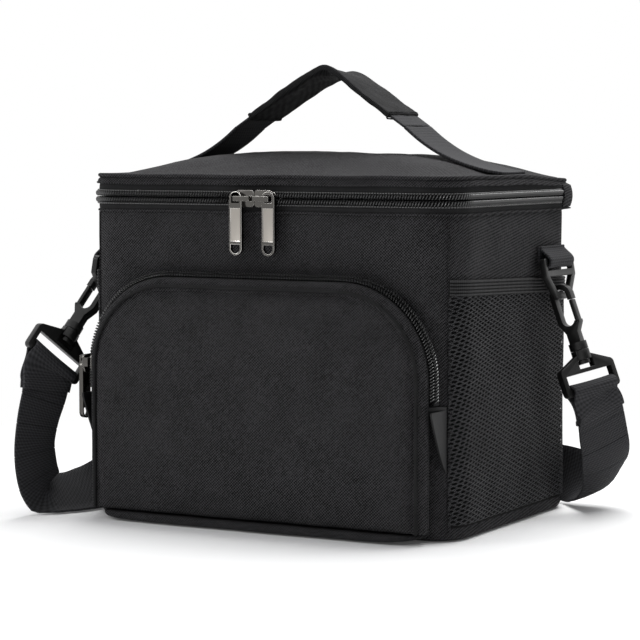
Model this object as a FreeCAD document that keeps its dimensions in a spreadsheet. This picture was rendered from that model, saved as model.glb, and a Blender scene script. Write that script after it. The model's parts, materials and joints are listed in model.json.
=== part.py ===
import FreeCAD, Part
import math
import os
import Sketcher

Vector = FreeCAD.Vector
Rotation = FreeCAD.Rotation

# Driving dimensions of the bag, in millimetres and degrees
DIMENSIONS = {
    # Box of fabric, foam and liner
    "bag_width": 265.0,
    "bag_depth": 186.0,
    "corner_radius": 24.0,
    "body_height": 199.0,
    "fabric_thickness": 1.2,
    "layer_gap": 0.2,
    "foam_thickness": 5.0,
    "liner_thickness": 0.8,
    "liner_top_gap": 2.0,
    # Lid zipper
    "tape_thickness": 1.0,
    "tape_height": 8.2,
    "seam_gap": 0.1,
    "row_gap": 0.8,
    "coil_height": 3.4,
    "coil_proud": 2.7,
    "coil_gap": 0.1,
    "zip_end_setback": 4.0,
    # Lid
    "lid_overhang": 1.5,
    "lid_rim_height": 4.5,
    "lid_crown_rise": 15.0,
    "lid_crown_reach": 75.0,
    "lid_crown_corner": 14.0,
    "lid_inset": 4.0,
    "lid_sheet_drop": 5.2,
    "lid_air_gap": 0.8,
    # Carry handle
    "webbing_width": 38.0,
    "webbing_thickness": 1.6,
    "handle_seam_margin": 2.5,
    "handle_foot_rise": 7.0,
    "handle_top_rise": 75.5,
    "handle_fold_reach": 62.0,
    "handle_fold_gap": 0.2,
    "handle_thickness": 2.2,
    "grip_reach": 56.0,
    "grip_wall": 2.4,
    "grip_gap": 0.25,
    # Zip sliders and pulls
    "slider_length": 15.5,
    "slider_height": 10.6,
    "slider_rear_height": 8.4,
    "slider_corner": 2.2,
    "slider_plate": 1.3,
    "slider_back_plate": 1.2,
    "slider_clearance": 0.45,
    "slider_flange": 1.2,
    "slider_flange_clearance": 0.3,
    "slider_web": 0.4,
    "slider_web_length": 6.0,
    "slider_leg": 2.0,
    "slider_leg_height": 3.2,
    "slider_rear_leg": 3.9,
    "slider_bridge": 1.3,
    "slider_meeting": -3.3,
    "slider_meeting_gap": 0.3,
    "pull_length": 40.0,
    "pull_width": 9.0,
    "pull_thickness": 3.0,
    "pull_eye_width": 5.2,
    "pull_eye_height": 5.0,
    "pull_side_gap": 0.25,
    "pull_recess_width": 6.6,
    "pull_recess_length": 17.0,
    "pull_recess_depth": 0.5,
    "pull_recess_start": 6.0,
    "pull_hole_radius": 2.6,
    # Front pocket
    "pocket_side_margin": 10.0,
    "pocket_drop": 40.0,
    "pocket_corner": 60.0,
    "pocket_bottom": 9.0,
    "pocket_zip_end": 93.0,
    "pocket_zip_depth": 7.0,
    "pocket_rim_width": 5.4,
    "pocket_panel_depth": 16.0,
    "pocket_panel_inset": 7.5,
    "pocket_crown": 4.5,
    "pocket_crown_inset": 28.0,
    "pocket_seam_gap": 0.3,
    "pocket_slider_length": 12.4,
    "pocket_pull_length": 38.0,
    "pleat_top_gap": 0.5,
    "pleat_reach": 5.0,
    "pleat_inset": 9.0,
    "tab_height": 13.0,
    "tab_tip_height": 7.0,
    "tab_length": 23.0,
    "tab_thickness": 1.2,
    "tab_top_gap": 1.0,
    # Side pockets of mesh
    "mesh_thickness": 1.2,
    "mesh_bottom": 12.0,
    "mesh_gap": 0.3,
    "band_height": 10.0,
    "band_drop": 39.0,
    "band_sag": 6.0,
    "band_thickness": 1.8,
    # Ring and its webbing loop
    "anchor_offset": 48.0,
    "anchor_drop": 33.0,
    "anchor_tail": 10.0,
    "anchor_gap": 0.3,
    "anchor_stand": 2.0,
    "loop_clearance": 0.35,
    "ring_bar": 4.2,
    "ring_thickness": 4.0,
    "ring_half_width": 24.0,
    "ring_shoulder_drop": 9.5,
    "ring_bottom_half": 10.5,
    "ring_bottom_drop": 23.1,
    "ring_corner": 3.0,
    "ring_crossbar_drop": 8.0,
    "ring_eye_top_half": 18.0,
    "ring_eye_bottom_half": 8.6,
    "ring_tilt": 10.0,
    # Snap hook
    "hook_thickness": 6.5,
    "hook_inner_radius": 4.2,
    "hook_bar": 3.2,
    "hook_eye_length": 18.0,
    "hook_heel_depth": 2.5,
    "hook_nose_drop": 4.0,
    "hook_shoulder_drop": 25.0,
    "hook_neck_drop": 32.0,
    "hook_neck_half": 4.0,
    "collar_radius": 6.0,
    "collar_height": 5.0,
    "post_radius": 2.9,
    "post_flange_radius": 4.4,
    "post_flange_height": 2.4,
    "swivel_gap": 0.3,
    "hook_tilt": 20.0,
    "left_hook_rise": 6.6,
    "left_hook_swing": 5.0,
    "left_hook_lean": 36.0,
    "gate_thickness": 2.6,
    "gate_side_gap": 0.3,
    "gate_end_gap": 0.3,
    # Strap frame below the hook
    "boss_radius": 6.0,
    "boss_height": 6.5,
    "frame_thickness": 5.0,
    "frame_half_width": 23.5,
    "frame_slot_half": 20.0,
    "frame_window_half": 6.5,
    "frame_window_height": 5.5,
    "frame_web": 2.5,
    "frame_slot_height": 8.5,
    "frame_bar": 5.0,
    "frame_corner": 3.0,
    "frame_shoulder_radius": 3.9,
    "frame_turn": 25.0,
    "strap_tail": 14.0,
    # Shoulder strap and its adjuster
    "strap_rear_height": 24.5,
    "strap_rear_offset": 106.0,
    "adjuster_length": 34.0,
    "adjuster_height": 47.0,
    "adjuster_window": 40.0,
    "adjuster_end_bar": 4.0,
    "adjuster_bar": 5.0,
    "adjuster_depth": 8.8,
    "adjuster_gap": 0.35,
}

doc = FreeCAD.newDocument("cooler_bag")
sheet = doc.addObject("Spreadsheet::Sheet", "Sizes")
for row, (alias, value) in enumerate(DIMENSIONS.items(), 1):
    sheet.set(f"A{row}", alias)
    sheet.set(f"B{row}", str(value))
    sheet.setAlias(f"B{row}", alias)
doc.recompute()


class Size:
    """A length as a number and as the sheet formula that gives it."""

    def __init__(self, value, text):
        self.value = value
        self.text = text

    def __add__(self, other):
        return Size(self.value + other.value, f"({self.text} + {other.text})")

    def __sub__(self, other):
        return Size(self.value - other.value, f"({self.text} - {other.text})")

    def __mul__(self, share):
        return Size(self.value * share, f"({self.text} * ({share:.12g}))")

    def __truediv__(self, count):
        return Size(self.value / count, f"({self.text} / {count})")

    def __neg__(self):
        return Size(-self.value, f"(0 - {self.text})")


def size(alias):
    return Size(DIMENSIONS[alias], "Sizes." + alias)


ZERO = Size(0.0, "0")
LEFT_TURN = 1
RIGHT_TURN = -1
DIAGONAL_SHARE = math.sqrt(0.5)
pieces = []


# Bodies, sketches and features
def new_body(label):
    body = doc.addObject("PartDesign::Body", label)
    body.Label = label
    pieces.append(body)
    return body


def new_sketch(body, role, offset=ZERO):
    sketch = body.newObject("Sketcher::SketchObject", body.Name + "_sketch")
    planes = body.Origin.OriginFeatures
    support = [plane for plane in planes if plane.Role == role][0]
    sketch.AttachmentSupport = [(support, "")]
    sketch.MapMode = "FlatFace"
    if offset is not ZERO:
        sketch.setExpression("AttachmentOffset.Base.z", offset.text)
    return sketch


def bind(sketch, constraints, sizes):
    first = sketch.ConstraintCount
    sketch.addConstraint(constraints)
    for step, length in enumerate(sizes):
        if length is not None and length is not ZERO:
            sketch.setExpression(f"Constraints[{first + step}]", length.text)


def outline(sketch, path):
    """Closed outline through (x, y) corners; (x, y, radius, turn) starts an arc."""
    geometry = []
    ends = []
    for step, corner in enumerate(path):
        start = Vector(corner[0].value, corner[1].value, 0)
        following = path[(step + 1) % len(path)]
        end = Vector(following[0].value, following[1].value, 0)
        if len(corner) == 2:
            geometry.append(Part.LineSegment(start, end))
            ends.append((1, 2))
            continue
        radius = corner[2].value
        turn = corner[3]
        chord = end - start
        side = Vector(-chord.y, chord.x, 0) * (turn / chord.Length)
        rise = math.sqrt(max(radius * radius - chord.Length * chord.Length / 4, 0.0))
        centre = (start + end) / 2 + side * rise
        from_start = math.atan2(start.y - centre.y, start.x - centre.x)
        from_end = math.atan2(end.y - centre.y, end.x - centre.x)
        circle = Part.Circle(centre, Vector(0, 0, 1), radius)
        if turn == LEFT_TURN:
            geometry.append(Part.ArcOfCircle(circle, from_start, from_end))
            ends.append((1, 2))
        else:
            geometry.append(Part.ArcOfCircle(circle, from_end, from_start))
            ends.append((2, 1))
    first = sketch.GeometryCount
    sketch.addGeometry(geometry, False)
    constraints = []
    sizes = []
    for step, corner in enumerate(path):
        here = first + step
        after = first + (step + 1) % len(path)
        after_start = ends[(step + 1) % len(path)][0]
        constraints.append(Sketcher.Constraint("Coincident", here, ends[step][1], after, after_start))
        sizes.append(None)
        constraints.append(Sketcher.Constraint("DistanceX", here, ends[step][0], corner[0].value))
        sizes.append(corner[0])
        constraints.append(Sketcher.Constraint("DistanceY", here, ends[step][0], corner[1].value))
        sizes.append(corner[1])
        if len(corner) > 2:
            constraints.append(Sketcher.Constraint("Radius", here, corner[2].value))
            sizes.append(corner[2])
    bind(sketch, constraints, sizes)


def circle(sketch, centre_x, centre_y, radius):
    here = sketch.GeometryCount
    middle = Vector(centre_x.value, centre_y.value, 0)
    sketch.addGeometry(Part.Circle(middle, Vector(0, 0, 1), radius.value), False)
    constraints = [
        Sketcher.Constraint("DistanceX", here, 3, centre_x.value),
        Sketcher.Constraint("DistanceY", here, 3, centre_y.value),
        Sketcher.Constraint("Radius", here, radius.value),
    ]
    bind(sketch, constraints, [centre_x, centre_y, radius])


def rectangle(sketch, left, right, bottom, top):
    outline(sketch, [(left, bottom), (right, bottom), (right, top), (left, top)])


def rounded_rectangle(sketch, half_x, half_y, radius):
    flat_x = half_x - radius
    flat_y = half_y - radius
    outline(sketch, [
        (-flat_x, -half_y),
        (flat_x, -half_y, radius, LEFT_TURN),
        (half_x, -flat_y),
        (half_x, flat_y, radius, LEFT_TURN),
        (flat_x, half_y),
        (-flat_x, half_y, radius, LEFT_TURN),
        (-half_x, flat_y),
        (-half_x, -flat_y, radius, LEFT_TURN),
    ])


def arch(sketch, half_width, top, radius, foot, grow):
    """Closed arch, grown outward all round by the given amount except at its foot."""
    shoulder = top - radius
    flat = half_width - radius
    outline(sketch, [
        (-(half_width + grow), foot),
        (half_width + grow, foot),
        (half_width + grow, shoulder, radius + grow, LEFT_TURN),
        (flat, top + grow),
        (-flat, top + grow, radius + grow, LEFT_TURN),
        (-(half_width + grow), shoulder),
    ])


def arch_band(sketch, half_width, top, radius, foot, outer, inner, side=1):
    """Band that follows an arch between two offsets; side -1 turns it upside down."""
    flat = half_width - radius
    over = LEFT_TURN * side
    under = RIGHT_TURN * side
    outline(sketch, [
        (half_width + outer, foot * side),
        (half_width + outer, (top - radius) * side, radius + outer, over),
        (flat, (top + outer) * side),
        (-flat, (top + outer) * side, radius + outer, over),
        (-(half_width + outer), (top - radius) * side),
        (-(half_width + outer), foot * side),
        (-(half_width + inner), foot * side),
        (-(half_width + inner), (top - radius) * side, radius + inner, under),
        (-flat, (top + inner) * side),
        (flat, (top + inner) * side, radius + inner, under),
        (half_width + inner, (top - radius) * side),
        (half_width + inner, foot * side),
    ])


def feature(sketch, kind, length):
    body = sketch.getParentGeoFeatureGroup()
    step = body.newObject("PartDesign::" + kind, body.Name + "_" + kind.lower())
    step.Profile = sketch
    step.setExpression("Length", length.text)
    sketch.Visibility = False
    return step


def pad(sketch, length):
    return feature(sketch, "Pad", length)


def pocket(sketch, length):
    return feature(sketch, "Pocket", length)


def loft(sketches, kind):
    body = sketches[0].getParentGeoFeatureGroup()
    step = body.newObject("PartDesign::" + kind, body.Name + "_loft")
    step.Profile = sketches[0]
    step.Sections = sketches[1:]
    step.Ruled = True
    return step


def place(piece, base, turn=Rotation()):
    piece.Placement = FreeCAD.Placement(Vector(0, 0, 0), turn)
    for axis, length in zip("xyz", base):
        if length is not ZERO:
            piece.setExpression("Placement.Base." + axis, length.text)


UP = Vector(0, 0, 1)
ALONG_Y = Vector(0, 1, 0)
ALONG_X = Vector(1, 0, 0)
HALF_TURN = Rotation(UP, 180)
QUARTER_TURN = Rotation(UP, 90)

half_width = size("bag_width") / 2
half_depth = size("bag_depth") / 2
corner = size("corner_radius")
fabric = size("fabric_thickness")
gap = size("layer_gap")
foam = size("foam_thickness")
liner = size("liner_thickness")
body_top = size("body_height")
foam_inset = fabric + gap
liner_inset = foam_inset + foam + gap
foam_bottom = fabric + gap
liner_bottom = foam_bottom + foam + gap
wall_top = body_top - size("liner_top_gap")

# Base: fabric panel, foam sheet
base = new_body("base_panel")
sketch = new_sketch(base, "XY_Plane")
rounded_rectangle(sketch, half_width, half_depth, corner)
pad(sketch, fabric)

base_foam = new_body("base_foam")
sketch = new_sketch(base_foam, "XY_Plane", foam_bottom)
rounded_rectangle(sketch, half_width - foam_inset, half_depth - foam_inset, corner - foam_inset)
pad(sketch, foam)


# Walls: each fabric panel reaches half way round the corners that it shares
def wall_panel(label, half_length, half_across, turn):
    body = new_body(label)
    sketch = new_sketch(body, "XY_Plane", fabric)
    flat = half_length - corner
    across = half_across - corner
    inner = corner - fabric
    reach = corner * DIAGONAL_SHARE
    inner_reach = inner * DIAGONAL_SHARE
    outline(sketch, [
        (-(flat + reach), -(across + reach), corner, LEFT_TURN),
        (-flat, -half_across),
        (flat, -half_across, corner, LEFT_TURN),
        (flat + reach, -(across + reach)),
        (flat + inner_reach, -(across + inner_reach), inner, RIGHT_TURN),
        (flat, -(half_across - fabric)),
        (-flat, -(half_across - fabric), inner, RIGHT_TURN),
        (-(flat + inner_reach), -(across + inner_reach)),
    ])
    pad(sketch, body_top - fabric)
    body.Placement = FreeCAD.Placement(Vector(0, 0, 0), turn)


wall_panel("front_panel", half_width, half_depth, Rotation())
wall_panel("back_panel", half_width, half_depth, HALF_TURN)
wall_panel("right_side_panel", half_depth, half_width, QUARTER_TURN)
wall_panel("left_side_panel", half_depth, half_width, Rotation(UP, -90))


# Foam sheets stand in the straight stretches of the four walls
def wall_foam(label, half_length, half_across, turn):
    body = new_body(label)
    sketch = new_sketch(body, "XY_Plane", liner_bottom)
    flat = half_length - corner
    outer = half_across - foam_inset
    rectangle(sketch, -flat, flat, -outer, -(outer - foam))
    pad(sketch, wall_top - liner_bottom)
    body.Placement = FreeCAD.Placement(Vector(0, 0, 0), turn)


wall_foam("front_foam", half_width, half_depth, Rotation())
wall_foam("back_foam", half_width, half_depth, HALF_TURN)
wall_foam("right_foam", half_depth, half_width, QUARTER_TURN)
wall_foam("left_foam", half_depth, half_width, Rotation(UP, -90))

# Liner tub
tub = new_body("inner_liner")
sketch = new_sketch(tub, "XY_Plane", liner_bottom)
rounded_rectangle(sketch, half_width - liner_inset, half_depth - liner_inset, corner - liner_inset)
pad(sketch, wall_top - liner_bottom)
sketch = new_sketch(tub, "XY_Plane", wall_top)
tub_inset = liner_inset + liner
rounded_rectangle(sketch, half_width - tub_inset, half_depth - tub_inset, corner - tub_inset)
pocket(sketch, wall_top - liner_bottom - liner)

# Lid zipper: a tape and a coil row on each side of the opening, round three walls
seam = size("seam_gap")
tape = size("tape_thickness")
tape_height = size("tape_height")
row_gap = size("row_gap")
coil_height = size("coil_height")
zip_end_line = half_depth - corner - size("zip_end_setback")
zip_foot = -zip_end_line
lower_tape_bottom = body_top + seam
zip_height = lower_tape_bottom + tape_height + row_gap / 2
upper_tape_bottom = zip_height + row_gap / 2
lid_bottom = upper_tape_bottom + tape_height + seam


def zip_row(label, bottom, height, outer, inner):
    body = new_body(label)
    sketch = new_sketch(body, "XY_Plane", bottom)
    arch_band(sketch, half_width, half_depth, corner, zip_foot, outer, inner, -1)
    pad(sketch, height)


coil_outer = size("coil_proud")
coil_inner = size("coil_gap")
zip_row("lower_zipper_tape", lower_tape_bottom, tape_height, ZERO, -tape)
zip_row("upper_zipper_tape", upper_tape_bottom, tape_height, ZERO, -tape)
zip_row("lower_zipper_coil", zip_height - row_gap / 2 - coil_height, coil_height, coil_outer, coil_inner)
zip_row("upper_zipper_coil", upper_tape_bottom, coil_height, coil_outer, coil_inner)

# Fabric strip that joins the lid to the back wall and takes the place of the zipper there
strip = new_body("lid_hinge_strip")
sketch = new_sketch(strip, "XY_Plane", body_top)
strip_foot = zip_end_line + gap
arch_band(sketch, half_width, half_depth, corner, strip_foot, ZERO, -fabric)
pad(sketch, lid_bottom - body_top)

# Lid: rim and soft crown of the top panel; shares give the crown's fall toward the seam
CROWN_SHARES = [
    (0.209, 0.134, 0.52),
    (0.412, 0.467, 0.36),
    (0.608, 0.733, 0.24),
    (0.804, 0.933, 0.12),
    (1.0, 1.0, 0.0),
]
overhang = size("lid_overhang")
rim_height = size("lid_rim_height")
crown_reach = size("lid_crown_reach")
crown_rise = size("lid_crown_rise")
crown_corner = size("lid_crown_corner")


def crown_sections(body, floor, start, drop, reach):
    """Rounded rectangles that shrink from the seam to the flat top of the crown."""
    sketches = []
    first = new_sketch(body, "XY_Plane", floor)
    rounded_rectangle(first, half_width - start, half_depth - start, corner - start)
    sketches.append(first)
    for inset_share, rise_share, corner_share in CROWN_SHARES:
        inset = start + (reach - start) * inset_share
        radius = crown_corner + (corner - crown_corner) * corner_share
        section = new_sketch(body, "XY_Plane", floor + (crown_rise - drop) * rise_share)
        rounded_rectangle(section, half_width - inset, half_depth - inset, radius)
        sketches.append(section)
    return sketches


lid_top = new_body("lid_top_panel")
sketch = new_sketch(lid_top, "XY_Plane", lid_bottom)
rounded_rectangle(sketch, half_width + overhang, half_depth + overhang, corner + overhang)
pad(sketch, rim_height)
rim_top = lid_bottom + rim_height
loft(crown_sections(lid_top, rim_top, -overhang, ZERO, crown_reach), "AdditiveLoft")
rim_inset = overhang - fabric
loft(crown_sections(lid_top, rim_top, -rim_inset, fabric, crown_reach), "SubtractiveLoft")
sketch = new_sketch(lid_top, "XY_Plane", rim_top)
rounded_rectangle(sketch, half_width + rim_inset, half_depth + rim_inset, corner + rim_inset)
pocket(sketch, rim_height)

lid_foam = new_body("lid_foam")
foam_floor = lid_bottom - size("lid_sheet_drop")
lid_inset = size("lid_inset")
foam_shoulder = rim_top - size("lid_air_gap")
sketch = new_sketch(lid_foam, "XY_Plane", foam_floor)
rounded_rectangle(sketch, half_width - lid_inset, half_depth - lid_inset, corner - lid_inset)
pad(sketch, foam_shoulder - foam_floor)
foam_reach = crown_reach + lid_inset / 2
loft(crown_sections(lid_foam, foam_shoulder, lid_inset, size("lid_air_gap"), foam_reach), "AdditiveLoft")

lid_liner = new_body("lid_liner")
sketch = new_sketch(lid_liner, "XY_Plane", foam_floor - gap - liner)
rounded_rectangle(sketch, half_width - lid_inset, half_depth - lid_inset, corner - lid_inset)
pad(sketch, liner)

# Carry handle: shares of the reach between seam and middle, and of the rise to the top
FOOT_SHARES = [
    (1.0, 0.0),
    (0.82, 0.022),
    (0.59, 0.087),
    (0.368, 0.172),
    (0.162, 0.314),
    (0.0, 0.482),
]
SPAN_SHARES = [
    (1.0, 0.482),
    (0.92, 0.56),
    (0.645, 0.708),
    (0.26, 0.926),
    (0.0, 1.0),
]


def webbing_half(points, thickness, width, upright):
    """Half of a bent webbing along a curve; the named ends are cut upright across X."""
    curve = Part.BSplineCurve()
    curve.interpolate([Vector(x, 0, z) for x, z in points])
    sides = []
    for way in (thickness / 2, -thickness / 2):
        side = []
        for step in range(len(points)):
            share = curve.parameter(Vector(points[step][0], 0, points[step][1]))
            tangent = curve.tangent(share)[0]
            across = Vector(-tangent.z, 0, tangent.x)
            if points[step] in upright:
                across = Vector(0, 0, across.z / abs(across.z) / abs(tangent.x))
            side.append(Vector(points[step][0], 0, points[step][1]) + across * way)
        sides.append(side)
    edges = []
    for side in sides:
        line = Part.BSplineCurve()
        line.interpolate(side)
        edges.append(line.toShape())
    edges.append(Part.LineSegment(sides[0][0], sides[1][0]).toShape())
    edges.append(Part.LineSegment(sides[0][-1], sides[1][-1]).toShape())
    face = Part.Face(Part.Wire(Part.__sortEdges__(edges)))
    face.translate(Vector(0, -width / 2, 0))
    return face.extrude(Vector(0, width, 0))


def mirrored(shape):
    return shape.mirror(Vector(0, 0, 0), Vector(1, 0, 0))


def new_shape(label, shape):
    piece = doc.addObject("Part::Feature", label)
    piece.Label = label
    piece.Shape = shape
    pieces.append(piece)
    return piece


seam_reach = (half_width - size("handle_seam_margin")).value
fold_reach = size("handle_fold_reach").value
fold_gap = size("handle_fold_gap").value
foot_height = (lid_bottom + size("handle_foot_rise")).value
top_rise = (size("handle_top_rise") - size("handle_foot_rise")).value
webbing = size("webbing_width").value
handle_thickness = size("handle_thickness").value
foot_points = []
for reach_share, rise_share in FOOT_SHARES:
    reach = fold_reach + fold_gap + (seam_reach - fold_reach - fold_gap) * reach_share
    foot_points.append((reach, foot_height + top_rise * rise_share))
right_end = webbing_half(foot_points, handle_thickness, webbing, foot_points[-1:])
new_shape("handle_right_end", right_end)
new_shape("handle_left_end", mirrored(right_end))
span_points = []
for reach_share, rise_share in SPAN_SHARES:
    span_points.append(((fold_reach - fold_gap) * reach_share, foot_height + top_rise * rise_share))
span_cuts = (span_points[0], span_points[-1])
span = webbing_half(span_points, handle_thickness, webbing, span_cuts)
new_shape("handle_webbing", span.fuse(mirrored(span)).removeSplitter())

grip_reach = size("grip_reach").value
grip_wall = size("grip_wall").value
grip_gap = size("grip_gap").value
inner_extra = grip_gap * 2
outer_extra = inner_extra + grip_wall * 2
outer_grip = webbing_half(span_points, handle_thickness + outer_extra, webbing + outer_extra, span_cuts)
inner_grip = webbing_half(span_points, handle_thickness + inner_extra, webbing + inner_extra, span_cuts)
sleeve = outer_grip.fuse(mirrored(outer_grip)).cut(inner_grip.fuse(mirrored(inner_grip)))
grip_box = Part.makeBox(grip_reach * 2, webbing * 2, top_rise * 2, Vector(-grip_reach, -webbing, foot_height))
new_shape("handle_sleeve", sleeve.common(grip_box).removeSplitter())


# Zip slider: two plates joined by a thin wedge, side flanges round the coil rows and a bridge.
# Its zip runs along X, the outside is toward -Y and the origin lies on the tape under the pull's leg.
def slider(label, length, base, turn):
    body = new_body(label)
    rear = -size("slider_rear_leg")
    nose = length + rear
    half = size("slider_height") / 2
    rear_half = size("slider_rear_height") / 2
    soft = size("slider_corner")
    plate = size("slider_plate")
    clearance = size("slider_clearance")
    front_start = coil_outer + clearance
    back_start = fabric + clearance
    back_plate = size("slider_back_plate")
    flange_in = row_gap / 2 + coil_height + size("slider_flange_clearance")
    form = [
        (rear, rear_half - soft),
        (rear, -(rear_half - soft), soft, LEFT_TURN),
        (rear + soft, -rear_half),
        (rear + soft + soft, -half),
        (nose - soft, -half, soft, LEFT_TURN),
        (nose, -(half - soft)),
        (nose, half - soft, soft, LEFT_TURN),
        (nose - soft, half),
        (rear + soft + soft, half),
        (rear + soft, rear_half, soft, LEFT_TURN),
    ]
    sketch = new_sketch(body, "XZ_Plane", front_start)
    outline(sketch, form)
    pad(sketch, plate)
    sketch = new_sketch(body, "XZ_Plane", clearance)
    flange = size("slider_flange")
    rectangle(sketch, rear + soft + soft, nose - soft, flange_in, flange_in + flange)
    rectangle(sketch, rear + soft + soft, nose - soft, -(flange_in + flange), -flange_in)
    pad(sketch, front_start - clearance + plate / 2)
    web = size("slider_web") / 2
    sketch = new_sketch(body, "XZ_Plane", -(back_start + back_plate / 2))
    rectangle(sketch, nose - size("slider_web_length"), nose - soft, -web, web)
    pad(sketch, back_start + back_plate / 2 + front_start + plate / 2)
    sketch = new_sketch(body, "XZ_Plane", -(back_start + back_plate))
    outline(sketch, form)
    pad(sketch, back_plate)
    leg = size("slider_leg") / 2
    leg_half = size("slider_leg_height") / 2
    spacing = nose - leg - soft / 2
    bridge_start = front_start + plate
    bay = size("pull_thickness") + size("pull_side_gap") * 2
    sketch = new_sketch(body, "XZ_Plane", front_start + plate / 2)
    rectangle(sketch, -leg, leg, -leg_half, leg_half)
    rectangle(sketch, spacing - leg, spacing + leg, -leg_half, leg_half)
    pad(sketch, plate / 2 + bay + size("slider_bridge") / 2)
    sketch = new_sketch(body, "XZ_Plane", bridge_start + bay)
    outline(sketch, [
        (-leg, -leg_half),
        (spacing + leg, -leg_half),
        (spacing + leg, leg_half),
        (-leg, leg_half),
    ])
    pad(sketch, size("slider_bridge"))
    place(body, base, turn)


# Zip pull: a plate with an eye for the slider's leg, a sunk face and a D hole in the round end
def pull(label, length, base, turn):
    body = new_body(label)
    half = size("pull_width") / 2
    end = length - half
    bay_start = coil_outer + size("slider_clearance") + size("slider_plate") + size("pull_side_gap")
    eye = size("pull_eye_width") / 2
    eye_half = size("pull_eye_height") / 2
    sketch = new_sketch(body, "XZ_Plane", bay_start)
    outline(sketch, [
        (half, ZERO, half, LEFT_TURN),
        (ZERO, half, half, LEFT_TURN),
        (-half, ZERO),
        (-half, -(end - half), half, LEFT_TURN),
        (ZERO, -end, half, LEFT_TURN),
        (half, -(end - half)),
    ])
    rectangle(sketch, -eye, eye, -eye_half, eye_half)
    hole = size("pull_hole_radius")
    hole_line = -(end - half)
    outline(sketch, [
        (-hole, hole_line, hole, LEFT_TURN),
        (ZERO, hole_line - hole, hole, LEFT_TURN),
        (hole, hole_line),
        (hole, hole_line + hole * DIAGONAL_SHARE),
        (-hole, hole_line + hole * DIAGONAL_SHARE),
    ])
    pad(sketch, size("pull_thickness"))
    recess = size("pull_recess_depth")
    sketch = new_sketch(body, "XZ_Plane", bay_start + size("pull_thickness"))
    recess_half = size("pull_recess_width") / 2
    recess_top = -size("pull_recess_start")
    rectangle(sketch, -recess_half, recess_half, recess_top - size("pull_recess_length"), recess_top)
    pocket(sketch, recess)
    place(body, base, turn)


front_face = -half_depth
slider_length = size("slider_length")
meeting = size("slider_meeting")
half_meeting = size("slider_meeting_gap") / 2
rear_leg = size("slider_rear_leg")
leg_reach = slider_length - rear_leg
left_leg = meeting - half_meeting - leg_reach
right_leg = meeting + half_meeting + leg_reach
slider("left_slider", slider_length, (left_leg, front_face, zip_height), Rotation())
slider("right_slider", slider_length, (right_leg, front_face, zip_height), Rotation(ALONG_Y, 180))
pull("left_slider_pull", size("pull_length"), (left_leg, front_face, zip_height), Rotation())
pull("right_slider_pull", size("pull_length"), (right_leg, front_face, zip_height), Rotation())

# Front pocket: gusset band sewn to the front wall, with the inner coil row on its edge
pocket_half = half_width - size("pocket_side_margin")
pocket_top = body_top - size("pocket_drop")
pocket_corner = size("pocket_corner")
zip_end = size("pocket_zip_end")
zip_depth = size("pocket_zip_depth")
seam_clear = size("pocket_seam_gap")
panel_depth = size("pocket_panel_depth")
half_fabric = fabric / 2


def pocket_band(label, start, end, outer, inner):
    body = new_body(label)
    sketch = new_sketch(body, "XZ_Plane", half_depth + start)
    arch_band(sketch, pocket_half, pocket_top, pocket_corner, zip_end, outer, inner)
    pad(sketch, end - start)


inner_row_end = zip_depth - row_gap / 2
outer_row_start = zip_depth + row_gap / 2
row_out = half_fabric + coil_outer
row_in = half_fabric + coil_inner
pocket_band("pocket_gusset", seam, inner_row_end, half_fabric, -half_fabric)
pocket_band("pocket_coil_inner", inner_row_end - coil_height, inner_row_end, row_out, row_in)
pocket_band("pocket_coil_outer", outer_row_start, outer_row_start + coil_height, row_out, row_in)

# Pocket front: tapered rim and crowned panel as one skin, open toward the bag
pocket_front = new_body("pocket_front")
rim_start = half_depth + zip_depth + row_gap / 2
panel_line = half_depth + panel_depth
panel_inset = size("pocket_panel_inset")
crown_inset = size("pocket_crown_inset")
pocket_crown = size("pocket_crown")
pocket_bottom = size("pocket_bottom")


def pocket_arch(offset, grow, foot):
    sketch = new_sketch(pocket_front, "XZ_Plane", offset)
    arch(sketch, pocket_half, pocket_top, pocket_corner, foot, grow)
    return sketch


foot = pocket_bottom
rim_width = size("pocket_rim_width")
rim_line = rim_start + rim_width
pad(pocket_arch(rim_start, half_fabric, foot), rim_width)
loft([pocket_arch(rim_line, half_fabric, foot), pocket_arch(panel_line, -panel_inset, foot)], "AdditiveLoft")
crown_foot = foot + pocket_crown
crown_line = panel_line + pocket_crown
crown_edge = pocket_arch(panel_line, -panel_inset, foot)
loft([crown_edge, pocket_arch(crown_line, -crown_inset, crown_foot)], "AdditiveLoft")
inner_foot = foot + fabric
pocket(pocket_arch(rim_line, -half_fabric, inner_foot), rim_width)
rim_edge = pocket_arch(rim_line, -half_fabric, inner_foot)
loft([rim_edge, pocket_arch(panel_line, -(panel_inset + fabric), inner_foot)], "SubtractiveLoft")
crown_edge = pocket_arch(panel_line, -(panel_inset + fabric), inner_foot)
inner_top = pocket_arch(crown_line - fabric, -crown_inset, crown_foot + fabric)
loft([crown_edge, inner_top], "SubtractiveLoft")
sketch = new_sketch(pocket_front, "XZ_Plane", panel_line)
rectangle(sketch, -half_width, half_width, pocket_bottom - fabric, zip_end)
pocket(sketch, panel_depth)


# Pleated ends of the pocket's gusset below the zip
def pleat(label, side):
    body = new_body(label)
    sketch = new_sketch(body, "XY_Plane", pocket_bottom + fabric)
    inner = pocket_half - size("pleat_inset")
    reach = size("pleat_reach")
    start = half_depth + seam_clear
    fold = (panel_depth - seam_clear * 2) / 4
    near = [(inner + reach * (step % 2), -(start + fold * step)) for step in range(5)]
    far = [(across + fabric * 2, away) for across, away in reversed(near)]
    outline(sketch, [(across * side, away) for across, away in near + far])
    pleat_top = zip_end - size("tab_height") - size("tab_top_gap") - size("pleat_top_gap")
    pad(sketch, pleat_top - pocket_bottom - fabric)


pleat("left_pocket_pleat", -1)
pleat("right_pocket_pleat", 1)


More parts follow.
